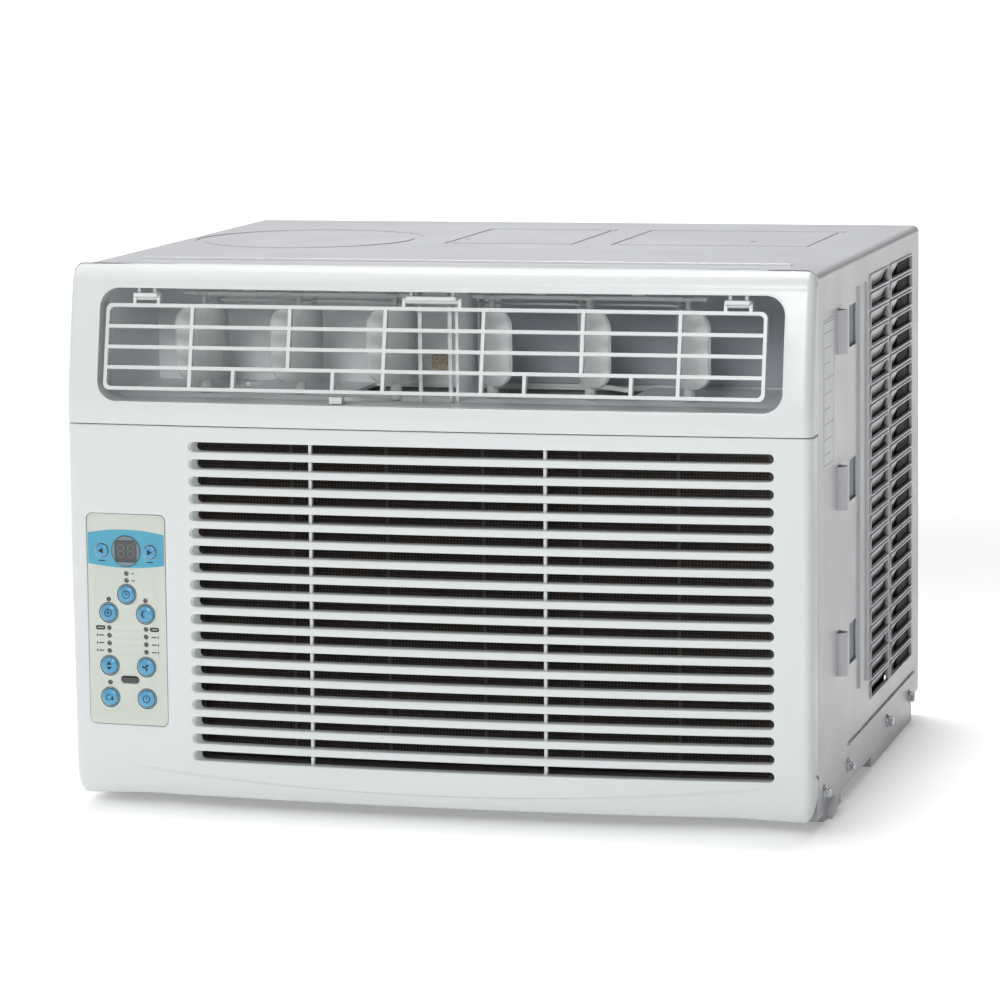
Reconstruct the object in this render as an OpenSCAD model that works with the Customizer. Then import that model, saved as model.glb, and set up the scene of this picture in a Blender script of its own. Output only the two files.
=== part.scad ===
// Window air conditioner: plastic front, steel cabinet, slide-in chassis.
// +X is to the right seen from the room, -Y faces the room, +Z is up.
// The origin is on the surface that it stands on, in the middle of the footprint.

/* [Overall size] */
// Width of the plastic front
body_w = 470; // [468:1:472]
// Height over the plastic front
body_h = 340; // [339:1:342]
// Depth from the chin of the intake grille to the back edge of the cabinet
body_d = 406; // [404:1:410]
// Height of the seam between the bezel and the intake grille
seam_z = 242; // [241:0.5:243]

/* [Plastic front] */
// Wall of the plastic front pieces
wall = 2.5; // [2:0.1:2.8]
// How far the chin of the grille stands in front of the seam
chin = 8; // [6:1:9]
// How far the top of the bezel leans back
bezel_lean = 14; // [12:1:15]
// Bow of the front face from its middle to its sides
front_bow = 8; // [6:1:9]
// Rounding of the upright front corners
corner_r = 8; // [6:1:9]

/* [Air outlet] */
// Left edge of the outlet opening
outlet_x0 = -214; // [-215:1:-213]
// Right edge of the outlet opening
outlet_x1 = 217; // [216:1:218]
// Floor of the outlet opening
outlet_z0 = 256.5; // [256:0.5:257]
// Ceiling of the outlet opening
outlet_z1 = 325.5; // [325:0.5:326.5]
// Distance between the pivots of neighbouring vanes
vane_pitch = 62; // [61:0.5:62]
// Chord of a vane from front to back
vane_chord = 42; // [38:1:42]
// Turn of the left vanes as drawn, in degrees
left_turn = -30; // [-34:1:-26]
// Turn of the right vanes as drawn, in degrees
right_turn = 40; // [36:1:40]
// Lean of the louvre frame as drawn, in degrees
louvre_lean = 12; // [10:1:13]

/* [Intake grille] */
// Number of intake slots
slot_n = 19; // [12:1:19]
// Distance between intake slots
slot_pitch = 10.8; // [10.4:0.1:10.9]
// Height of an intake slot
slot_h = 6.6; // [5:0.2:7]
// Left end of the slots
slot_x0 = -154; // [-155:1:-152]
// Right end of the slots
slot_x1 = 212; // [208:1:213]

/* [Steel cabinet] */
// Thickness of the sheet steel
sheet = 1.2; // [1:0.1:1.4]
// Number of vents in a column
vent_n = 23; // [16:1:23]
// Distance between vents
vent_pitch = 12; // [11:0.5:12]
// Height of a vent
vent_h = 8.4; // [6:0.2:8.6]

/* [Fan] */
// Height of the fan shaft
shaft_z = 150; // [149:1:152]
// Radius of the fan shaft
shaft_r = 4; // [3.5:0.5:4.5]
// Number of blower vanes
blower_n = 30; // [20:1:36]
// Number of condenser fan blades
fan_n = 5; // [4:1:6]

/* [Hidden] */

white = [0.93, 0.94, 0.94];
duct_grey = [0.80, 0.82, 0.83];
steel_white = [0.86, 0.87, 0.86];
zinc = [0.70, 0.72, 0.73];
alloy = [0.75, 0.76, 0.78];
copper = [0.72, 0.43, 0.28];
dark = [0.13, 0.13, 0.14];
blue = [0.42, 0.68, 0.84];
plate_grey = [0.80, 0.82, 0.81];
eps = 0.01;

front_y = chin - body_d / 2;
back_y = body_d / 2;
half_w = body_w / 2;
top_z = body_h;
bezel_back = front_y + 27;
frame_back = bezel_back + 3;
face_r = 11;
top_round = 12;
bezel_tilt = atan(bezel_lean / (top_z - seam_z));
bezel_bow = 6;
bezel_bow_r = (half_w * half_w + bezel_bow * bezel_bow) / (2 * bezel_bow);
bow_r = (half_w * half_w + front_bow * front_bow) / (2 * front_bow);
chin_tilt = atan(chin / (seam_z - 10));

// Controls, measured from the middle of the control plate.
plate_x = -197;
plate_z = 119.8;
plate_w = 51.6;
plate_h = 131.7;
plate_y = front_y + 4;
button_r = 5.3;
arrow_r = 4.1;
button_play = 0.3;
button_proud = 1.6;
arrow_x = 16.2;
arrow_z = 43;
column_x = 12.4;
// Name, place across and place up of each round button.
BUTTONS = [["timer", 0, 16], ["energy", -column_x, 4], ["sleep", column_x, 4],
    ["mode", -column_x, -29.3], ["fan", column_x, -29.3], ["check", -column_x, -49.3],
    ["power", column_x, -49.3]];
ARROWS = [["down", -arrow_x, arrow_z], ["up", arrow_x, arrow_z]];
LAMPS = [[0, 29], [0, 24.6], [-column_x, 12.4], [column_x, 12.4], [-column_x, -5.6],
    [-column_x, -10.4], [-column_x, -15.2], [-column_x, -20], [column_x, -5.6],
    [column_x, -10.4], [column_x, -15.2], [column_x, -20], [-column_x, -40]];
lamp_r = 1.3;
lens_r = 9.6;

// Outlet, from front to back.
louvre_y = front_y + 22;
louvre_z = 319;
vane_y = front_y + 56;
vane_z0 = 265;
vane_z1 = 313;
vane_r = 45;
vane_first = -160;
pin_r = 2;
fit = 0.06;
crank = 14;
duct_y0 = bezel_back + 3.2;
duct_y1 = front_y + 131;
duct_z0 = 254;
duct_z1 = 333;
CLIP_X = [-185, -2, 188];
CLIP_W = [12, 32, 12];

hinge_y = front_y + 18;
hinge_z = 16.5;
hinge_r = 2;
HINGE_X = [-175, 175];

cab_x = half_w - 0.2;
cab_in = cab_x - sheet;
vent_top = 312;
cab_z0 = 15;
cab_z1 = top_z - 2;
cab_y0 = bezel_back;
pan_x = cab_in;
pan_y0 = frame_back;
pan_y1 = front_y + 377;
pan_floor = 1.6;
pan_rim = 24;
SCREW_Y = [front_y + 46, front_y + 128, front_y + 274, front_y + 361];
screw_z = 19.5;
screw_r = 1.9;
SCREW_TOP = [[-43, front_y + 253], [150, front_y + 253]];

evap_y0 = front_y + 46;
evap_y1 = front_y + 68;
housing_y0 = front_y + 74;
bulk_y = front_y + 134;
shaft_y0 = front_y + 82;
shaft_y1 = front_y + 330;
motor_y0 = front_y + 192;
motor_y1 = front_y + 262;
motor_r = 44;
fan_y = front_y + 306;
fan_r = 118;
shroud_y = front_y + 334;
cond_y0 = front_y + 350;
cond_y1 = front_y + 380;
guard_y = back_y - 8;
comp_x = 148;
comp_y = front_y + 238;
comp_r = 50;
comp_top = 180;
FEET = [0, 120, 240];
stud_r = 2.5;

// A box from its low corner to its high corner.
module span(a, b) {
    translate(a) cube([b[0] - a[0], b[1] - a[1], b[2] - a[2]]);
}

// A flat rectangle with round corners, from corner to corner.
module round_rect(x0, z0, x1, z1, r) {
    translate([x0 + r, z0]) square([x1 - x0 - 2 * r, z1 - z0]);
    translate([x0, z0 + r]) square([x1 - x0, z1 - z0 - 2 * r]);
    for (x = [x0 + r, x1 - r], z = [z0 + r, z1 - r]) translate([x, z]) circle(r, $fn = 48);
}

// A drawing in X and Z, made solid from y0 to y1.
module along_y(y0, y1) {
    translate([0, y1, 0]) rotate([90, 0, 0]) linear_extrude(y1 - y0) children();
}

// A drawing in Y and Z, made solid from x0 to x1.
module along_x(x0, x1) {
    translate([x0, 0, 0]) rotate([90, 0, 90]) linear_extrude(x1 - x0) children();
}

// A rod along Y or X.
module rod_y(x, y0, y1, z, r) {
    translate([x, y1, z]) rotate([90, 0, 0]) cylinder(h = y1 - y0, r = r, $fn = 64);
}
module rod_x(x0, x1, y, z, r) {
    translate([x0, y, z]) rotate([0, 90, 0]) cylinder(h = x1 - x0, r = r, $fn = 64);
}

// The bowed front of the grille, leaning out towards its chin, inset by t.
module bowed_front(t) {
    translate([0, front_y + t, seam_z]) rotate([-chin_tilt, 0, 0])
        translate([0, bow_r, -seam_z - 20]) cylinder(h = seam_z + 60, r = bow_r, $fn = 720);
}

// What is cut away to round the two upright front corners.
module corner_cut(y, z0, z1, r) {
    for (s = [-1, 1]) translate([s * (half_w - r), y + r, z0]) difference() {
        translate([s > 0 ? 0 : -r - 5, -r - 5, -1]) cube([r + 5, r + 5, z1 - z0 + 2]);
        translate([0, 0, -2]) cylinder(h = z1 - z0 + 4, r = r, $fn = 64);
    }
}

module front_bezel() color(white) {
    difference() {
        union() {
            difference() {
                bezel_form(0);
                bezel_form(wall);
            }
            // Throat of the outlet
            intersection() {
                along_y(front_y, bezel_back) round_rect(outlet_x0 - wall, outlet_z0 - wall,
                    outlet_x1 + wall, outlet_z1 + wall, 13);
                bezel_form(0);
            }
            // Frame behind the grille
            along_y(bezel_back - 0.6, frame_back)
                round_rect(-half_w + 4, 10, half_w - 4, seam_z + 1, 9);
            // Hinge ears
            for (x = HINGE_X, s = [-1, 1]) translate([x + s * 7, 0, 0]) {
                rod_x(-3, 3, hinge_y, hinge_z, 4.5);
                span([-3, hinge_y, hinge_z - 1], [3, bezel_back, hinge_z + 4.5]);
            }
        }
        along_y(front_y - 5, frame_back + 1)
            round_rect(outlet_x0, outlet_z0, outlet_x1, outlet_z1, 12);
        along_y(bezel_back - 3, frame_back + 1) round_rect(-160, 25, 224, 238, 6);
        along_y(bezel_back - 3, frame_back + 1) round_rect(-220, 58, -174, 182, 4);
        corner_cut(front_y + 2, seam_z, top_z, corner_r);
        for (x = HINGE_X) rod_x(x - 12, x + 12, hinge_y, hinge_z, hinge_r);
    }
}

// Outer form of the bezel, inset by t: bowed, leaning back, round at the top and its corners.
module bezel_form(t) {
    y1 = bezel_back + (t > 0 ? 1 : 0);
    z0 = seam_z + 0.5 + t;
    intersection() {
        along_y(front_y - 1, y1)
            round_rect(-half_w + t, seam_z - 30, half_w - t, top_z - t, face_r - t);
        along_x(-half_w, half_w) bezel_side(t, top_round - t, y1);
        translate([0, front_y + t, seam_z]) rotate([-bezel_tilt, 0, 0])
            translate([0, bezel_bow_r, -20]) cylinder(h = 140, r = bezel_bow_r, $fn = 720);
        translate([-half_w, front_y - 1, z0]) cube([body_w, body_d, body_h]);
    }
}

// Side view of the top of the bezel, inset by t.
module bezel_side(t, r, y1) {
    arc_y = front_y + t + bezel_lean * 0.87 + r;
    z1 = top_z - t;
    translate([arc_y, z1 - r]) circle(r, $fn = 96);
    translate([arc_y, z1 - r]) square([y1 - arc_y, r]);
    translate([front_y - 1, seam_z - 30]) square([y1 - front_y + 1, z1 - r - seam_z + 30]);
}

module slots(y0, y1) {
    for (i = [0:slot_n - 1])
        along_y(y0, y1) translate([0, seam_z - 12.6 - i * slot_pitch])
            round_rect(slot_x0, -slot_h / 2, slot_x1, slot_h / 2, slot_h / 2 - 0.1);
}

module intake_grille() color(white) {
    z0 = 9;
    z1 = seam_z - 0.5;
    y0 = front_y - 12;
    y1 = bezel_back - 2;
    slot_back = front_y + 14;
    difference() {
        union() {
            difference() {
                intersection() {
                    span([-half_w, y0, z0], [half_w, y1, z1]);
                    grille_face(0, z0);
                    bowed_front(0);
                }
                intersection() {
                    span([-half_w + wall, y0 - 1, z0 + wall], [half_w - wall, y1 + 1, z1 - wall]);
                    grille_face(wall, z0);
                    bowed_front(wall);
                }
            }
            intersection() {
                span([slot_x0 - 4, y0, 28], [slot_x1 + 4, slot_back, seam_z - 4]);
                bowed_front(0);
            }
            // Hinge lugs
            for (x = HINGE_X) {
                rod_x(x - 3.6, x + 3.6, hinge_y, hinge_z, 4.5);
                span([x - 3.6, front_y - 2, hinge_z - 4.5], [x + 3.6, hinge_y, hinge_z + 2]);
            }
        }
        slots(y0 - 1, slot_back + 1);
        along_y(y0 - 1, front_y + 12)
            round_rect(plate_x - plate_w / 2 - 0.6, plate_z - plate_h / 2 - 0.6,
                plate_x + plate_w / 2 + 0.6, plate_z + plate_h / 2 + 0.6, 4);
        corner_cut(front_y - 1, z0, z1, corner_r);
        // Room behind the hinge for the swing
        span([-half_w - 1, hinge_y + 3, z0 - 1], [half_w + 1, y1 + 1, hinge_z + 2]);
        for (x = HINGE_X) rod_x(x - 12, x + 12, hinge_y, hinge_z, hinge_r + fit);
    }
    // Upright ribs behind the slots
    for (x = [-76.3, 72]) span([x - 1.4, front_y + 5, 30], [x + 1.4, slot_back, seam_z - 6]);
}

// Front view of the grille with its round lower corners, inset by t.
module grille_face(t, z0)
    along_y(front_y - 14, bezel_back)
        round_rect(-half_w + t, z0 + t, half_w - t, seam_z + 30, face_r - t);

module grille_hinge_pins() color(zinc)
    for (x = HINGE_X) rod_x(x - 11, x + 11, hinge_y, hinge_z, hinge_r);

module filter_frame() color([0.86, 0.87, 0.86]) {
    y0 = front_y + 14;
    along_y(y0, y0 + 5) difference() {
        round_rect(slot_x0 - 3, 27, slot_x1 + 3, 237, 5);
        round_rect(slot_x0 + 4, 34, slot_x1 - 4, 230, 3);
    }
    for (i = [1:3]) span([slot_x0 + 3, y0 + 1, 34 + i * 49], [slot_x1 - 3, y0 + 2.2, 36 + i * 49]);
    for (i = [1:5]) span([slot_x0 + i * 61, y0 + 1, 33], [slot_x0 + i * 61 + 2, y0 + 2.2, 231]);
    // Pull tab
    span([20, y0 + 1, 236], [50, y0 + 4, 238.5]);
}

module filter_mesh() color([0.20, 0.17, 0.15]) {
    y0 = front_y + 16.2;
    along_y(y0, y0 + 0.6) round_rect(slot_x0 + 4, 34, slot_x1 - 4, 230, 3);
}

// Bars of the louvre frame, in its own leaning plane, hung from the axis at the top.
module louvre_frame() color(white) {
    x0 = -211;
    x1 = 206;
    bar = 2.2;
    depth = 4;
    ROW = [-4.8, -17.9, -30.7, -43.4, -56.4];
    FULL = [-155, -31, 31, 153];
    UPPER = [-92, 93];
    POSTS = [-127, -63, 58, 124];
    translate([0, louvre_y, louvre_z]) rotate([-louvre_lean, 0, 0]) {
        along_y(-depth / 2, depth / 2) {
            difference() {
                round_rect(x0, ROW[4] - bar / 2, x1, ROW[0] + bar / 2, 4);
                round_rect(x0 + bar, ROW[4] + bar / 2, x1 - bar, ROW[0] - bar / 2, 3);
            }
            for (i = [1:3])
                translate([x0 + 1, ROW[i] - bar / 2]) square([x1 - x0 - 2, bar]);
            for (x = FULL) translate([x - bar / 2, ROW[4]]) square([bar, ROW[0] - ROW[4]]);
            for (x = UPPER) translate([x - bar / 2, ROW[3]]) square([bar, ROW[0] - ROW[3]]);
            for (x = POSTS) translate([x - bar / 2, ROW[4]]) square([bar, ROW[3] - ROW[4]]);
        }
        for (i = [0:2]) {
            for (s = [-1, 1]) translate([CLIP_X[i] + s * (CLIP_W[i] / 2 + 1.7), 0, 0]) {
                rod_x(-1, 1, 0, 0, 2.2);
                span([-1, -2, ROW[0]], [1, 2, 0]);
            }
            rod_x(CLIP_X[i] - CLIP_W[i] / 2 - 1.7, CLIP_X[i] + CLIP_W[i] / 2 + 1.7, 0, 0, 1.5);
        }
    }
}

// Blocks under the ceiling of the outlet that carry the journals of the louvre frame.
module louvre_clips() color(white)
    for (i = [0:2]) difference() {
        w = CLIP_W[i] / 2;
        span([CLIP_X[i] - w, louvre_y - 3, louvre_z - 2.4],
            [CLIP_X[i] + w, louvre_y + 3, outlet_z1]);
        rod_x(CLIP_X[i] - w - 1, CLIP_X[i] + w + 1, louvre_y, louvre_z, 1.5 + fit);
    }

module centre_stay() color(white) {
    y0 = duct_y0 - 2.4;
    y1 = duct_y0;
    for (x = [-12, 7]) span([x - 1.3, y0, outlet_z0], [x + 1.3, y1, outlet_z1]);
    for (z = [287, 312]) span([-11, y0, z], [6, y1, z + 2.2]);
}

module duct_divider() color(duct_grey)
    span([9.5, duct_y0 + 0.5, outlet_z0], [11.5, housing_y0 + 2, duct_z1 - wall]);

module air_duct() color(duct_grey) {
    x0 = -219;
    x1 = 222;
    exit_x0 = -70;
    exit_x1 = 110;
    difference() {
        span([x0, duct_y0, duct_z0], [x1, duct_y1, duct_z1]);
        span([x0 + wall, duct_y0 - 1, outlet_z0], [x1 - wall, duct_y1 - wall, duct_z1 - wall]);
        span([exit_x0, housing_y0 + 6, duct_z0 - 1], [exit_x1, duct_y1 - wall - 2, outlet_z0 + 1]);
        for (i = [0:5]) translate([vane_first + i * vane_pitch, vane_y, duct_z0 - 1])
            cylinder(h = 6, r = pin_r + fit, $fn = 48);
    }
}

module vane_rail(x0, x1, pivots) {
    z0 = 318;
    z1 = 320.6;
    difference() {
        union() {
            span([x0, vane_y - 3, z0], [x1, vane_y + 3, z1]);
            for (x = pivots) translate([x, vane_y, z0]) cylinder(h = z1 - z0, r = 5, $fn = 48);
            for (x = [pivots[0] + 31, pivots[1] + 31])
                span([x - 4, vane_y - 2, z1], [x + 4, vane_y + 2, duct_z1 - wall]);
        }
        for (x = pivots) translate([x, vane_y, z0 - 1]) cylinder(h = 6, r = pin_r + fit, $fn = 48);
    }
}
module vane_rail_left() color(white)
    vane_rail(vane_first - 12, vane_first + 2 * vane_pitch + 12,
        [for (i = [0:2]) vane_first + i * vane_pitch]);
module vane_rail_right() color(white)
    vane_rail(vane_first + 3 * vane_pitch - 12, vane_first + 5 * vane_pitch + 12,
        [for (i = [3:5]) vane_first + i * vane_pitch]);

// One cambered vane, turned about its own pins, with a finger lever of the given lean when it
// has one. Its hollow side faces away from the hand (1 or -1).
module vane(i, turn, lever, hand) {
    half = vane_chord / 2;
    rest = vane_r - 2.6;
    translate([vane_first + i * vane_pitch, vane_y, 0]) rotate([0, 0, turn]) {
        intersection() {
            translate([-hand * rest, 0, 0]) difference() {
                cylinder_between(vane_z0, vane_z1, vane_r + 1);
                cylinder_between(vane_z0 - 1, vane_z1 + 1, vane_r - 1);
            }
            along_x(-10, 10) round_rect(-half, vane_z0, half, vane_z1, 11);
        }
        cylinder_between(vane_z0, vane_z0 + 6, 2.8);
        cylinder_between(vane_z1 - 6, vane_z1, 2.8);
        cylinder_between(vane_z1, 321, pin_r);
        cylinder_between(257, vane_z0 + 1, 3.6);
        cylinder_between(253, 257, pin_r);
        translate([0, crank, 0]) cylinder_between(vane_z1 - 5, 318.4, 1.5);
        if (lever != 0) rotate([0, 0, lever]) {
            span([-1.5, -36, 264.4], [1.5, 0, 267]);
            translate([0, -36, 0]) cylinder_between(264.4, 267, 2);
        }
    }
}
module cylinder_between(z0, z1, r) {
    translate([0, 0, z0]) cylinder(h = z1 - z0, r = r, $fn = 96);
}
module vane_left_1() color(white) vane(0, left_turn, 0, 1);
module vane_left_2() color(white) vane(1, left_turn, -14, 1);
module vane_left_3() color(white) vane(2, left_turn, 0, 1);
module vane_right_1() color(white) vane(3, right_turn, 0, -1);
module vane_right_2() color(white) vane(4, right_turn, 12, -1);
module vane_right_3() color(white) vane(5, right_turn, 0, -1);

// The bar that joins the crank pins of three vanes.
module link(first, turn) {
    dx = -crank * sin(turn);
    dy = crank * cos(turn);
    z0 = vane_z1 + 0.6;
    z1 = z0 + 1.4;
    x0 = vane_first + first * vane_pitch + dx;
    y = vane_y + dy;
    difference() {
        union() {
            span([x0, y - 2.4, z0], [x0 + 2 * vane_pitch, y + 2.4, z1]);
            for (k = [0:2]) translate([x0 + k * vane_pitch, y, 0]) cylinder_between(z0, z1, 3.6);
        }
        for (k = [0:2]) translate([x0 + k * vane_pitch, y, 0])
            cylinder_between(z0 - 1, z1 + 1, k == 1 ? 1.5 + fit : 1.8);
    }
}
module link_left() color(white) link(0, left_turn);
module link_right() color(white) link(3, right_turn);

module vent_lever() color(white) {
    x = -30;
    y = front_y + 34;
    knob = [-60, front_y + 10];
    reach = norm([knob[0] - x, knob[1] - y]);
    turn = atan2(knob[1] - y, knob[0] - x);
    translate([x, y, 0]) rotate([0, 0, turn]) {
        span([0, -1.2, 258.2], [reach - 3, 1.2, 260.6]);
        cylinder_between(outlet_z0 + 0.4, 261, 3);
        translate([reach, 0, 0]) rotate([0, 0, -turn])
            span([-4, -4, outlet_z0 + 0.6], [4, 4, outlet_z0 + 4.6]);
    }
}

module vent_door() color(zinc) {
    y0 = bulk_y + sheet + 0.4;
    span([-156, y0, 84], [-94, y0 + sheet, 152]);
    rod_x(-152, -98, y0 + 2.4, 152.5, 2.4);
}

// A round key: cap, stem and a flange behind the plate. It is pressed along +Y.
module key(spot, r) {
    x = plate_x + spot[1];
    z = plate_z + spot[2];
    rod_y(x, plate_y - button_proud, plate_y + 4.2, z, r);
    rod_y(x, plate_y + 4, plate_y + 5, z, r + 1);
    rod_y(x, plate_y + 4.8, plate_y + 8.6, z, 1.6);
}
module button_down() color(plate_grey) key(ARROWS[0], arrow_r);
module button_up() color(plate_grey) key(ARROWS[1], arrow_r);
module button_timer() color(blue) key(BUTTONS[0], button_r);
module button_energy() color(blue) key(BUTTONS[1], button_r);
module button_sleep() color(blue) key(BUTTONS[2], button_r);
module button_mode() color(blue) key(BUTTONS[3], button_r);
module button_fan() color(blue) key(BUTTONS[4], button_r);
module button_check() color(blue) key(BUTTONS[5], button_r);
module button_power() color(blue) key(BUTTONS[6], button_r);

module control_plate() color(plate_grey) difference() {
    union() {
        along_y(plate_y, plate_y + 2.4)
            round_rect(plate_x - plate_w / 2, plate_z - plate_h / 2,
                plate_x + plate_w / 2, plate_z + plate_h / 2, 3.5);
        along_y(plate_y + 1, bezel_back - 0.6) difference() {
            round_rect(plate_x - plate_w / 2 + 1, plate_z - plate_h / 2 + 1,
                plate_x + plate_w / 2 - 1, plate_z + plate_h / 2 - 1, 3);
            round_rect(plate_x - plate_w / 2 + 2.6, plate_z - plate_h / 2 + 2.6,
                plate_x + plate_w / 2 - 2.6, plate_z + plate_h / 2 - 2.6, 2);
        }
    }
    for (b = BUTTONS) rod_y(plate_x + b[1], plate_y - 1, plate_y + 3, plate_z + b[2],
        button_r + button_play);
    for (b = ARROWS) rod_y(plate_x + b[1], plate_y - 1, plate_y + 3, plate_z + b[2],
        arrow_r + button_play);
    for (p = LAMPS) rod_y(plate_x + p[0], plate_y - 1, plate_y + 3, plate_z + p[1], lamp_r);
    rod_y(plate_x, plate_y - 1, plate_y + 3, plate_z + arrow_z, lens_r);
    along_y(plate_y - 1, plate_y + 3) translate([plate_x + 1, plate_z - 37.8])
        round_rect(-6.2, -2.4, 6.2, 2.4, 2.3);
}

module display_lens() color(dark)
    rod_y(plate_x, plate_y - 0.6, plate_y + 3.4, plate_z + arrow_z, lens_r);

module receiver_window() color(dark)
    along_y(plate_y - 0.2, plate_y + 3.4) translate([plate_x + 1, plate_z - 37.8])
        round_rect(-6.2, -2.4, 6.2, 2.4, 2.3);

module indicator_lamps() color([0.3, 0.45, 0.3])
    for (p = LAMPS) rod_y(plate_x + p[0], plate_y + 0.2, plate_y + 10, plate_z + p[1], lamp_r);

module control_board() color([0.15, 0.35, 0.22]) {
    y0 = plate_y + 10;
    span([plate_x - 22, y0, plate_z - 62], [plate_x + 22, y0 + 1.6, plate_z + 62]);
    span([plate_x - 9, plate_y + 5, plate_z + arrow_z - 7],
        [plate_x + 9, y0, plate_z + arrow_z + 7]);
    span([plate_x - 15, y0 + 1.6, plate_z - 52], [plate_x + 12, y0 + 6, plate_z - 30]);
}

module control_box() color(zinc) difference() {
    span([-224, frame_back + 0.6, 76], [-166, front_y + 118, 232]);
    span([-222.6, frame_back + 2, 77.4], [-167.4, front_y + 119, 230.6]);
}

module capacitor() color(alloy) {
    translate([-195, front_y + 74, 77.4]) cylinder(h = 72, r = 20, $fn = 64);
    translate([-195, front_y + 74, 149.4]) cylinder(h = 3, r = 18, $fn = 64);
    for (s = [-1, 1]) span([-196 + s * 7, front_y + 71, 152.4], [-194 + s * 7, front_y + 77, 159]);
}

module base_pan() color(zinc) {
    shelf = 7;
    step = 5;
    y_a = front_y + 108;
    y_b = front_y + 217;
    difference() {
        union() {
            span([-pan_x, pan_y0, 0], [pan_x, pan_y1, pan_floor]);
            for (s = [-1, 1])
                translate([s > 0 ? pan_x - sheet : -pan_x, 0, 0])
                    span([0, pan_y0, 0], [sheet, pan_y1, pan_rim]);
            for (y = [pan_y0, pan_y1 - sheet])
                span([-pan_x, y, 0], [pan_x, y + sheet, pan_rim - 2]);
            // Raised step along the front
            span([-pan_x, pan_y0, 0], [pan_x, pan_y0 + 22, step + pan_floor]);
            // Raised shelves over the notches at both sides
            for (s = [-1, 1]) translate([s > 0 ? pan_x - 16 : -pan_x, 0, 0])
                span([0, y_a - 2, 0], [16, y_b + 2, shelf + pan_floor]);
        }
        for (s = [-1, 1]) translate([s > 0 ? pan_x - 14 : -pan_x - 1, 0, 0])
            span([0, y_a, -1], [15, y_b, shelf]);
        span([-pan_x - 1, pan_y0 - 1, -1], [pan_x + 1, pan_y0 + 20.4, step]);
        for (y = SCREW_Y, s = [-1, 1])
            rod_x(s * pan_x - 4, s * pan_x + 4, y, screw_z, screw_r);
        // Holes for the sill screws
        for (x = [-150, 150], y = [-110, 110])
            translate([x, y, -1]) cylinder(h = 4, r = 3.2, $fn = 48);
    }
    // Ribs that stiffen the floor
    for (x = [-190, -60, 60])
        span([x - 4, front_y + 144, pan_floor], [x + 4, front_y + 320, pan_floor + 2]);
    // Side tabs at the front
    for (s = [-1, 1]) translate([0, front_y + 60, 0]) along_y(0, sheet)
        polygon([[s * (pan_x - eps), 0], [s * 236.5, 0], [s * 240, 5], [s * 239, cab_z0 - 0.5],
            [s * (pan_x - eps), cab_z0 - 0.5]]);
    // Studs for the compressor feet
    for (a = FEET) at_foot(a) cylinder(h = 34, r = stud_r, $fn = 48);
}

// Places a thing at a foot of the compressor, at the angle a from its back.
module at_foot(a)
    translate([comp_x + (comp_r + 9) * cos(a + 90), comp_y + (comp_r + 9) * sin(a + 90), 0])
        children();

// A column of vents, cut through both sides.
module vent_column(y0, y1) {
    for (i = [0:vent_n - 1]) translate([0, 0, vent_top - i * vent_pitch])
        span([-half_w - 9, y0, 0], [half_w + 9, y1, vent_h]);
}

// An outward half tube, pressed between two cuts, with its bore upright.
module bridge(side, y, z) {
    h = 27;
    r = 5.6;
    translate([side * cab_x, y, z]) intersection() {
        difference() {
            cylinder(h = h, r = r, $fn = 64);
            translate([0, 0, -1]) cylinder(h = h + 2, r = r - sheet, $fn = 64);
        }
        translate([side > 0 ? -eps : -r - 1, -r - 1, -1]) cube([r + 1 + eps, 2 * r + 2, h + 2]);
    }
}

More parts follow.
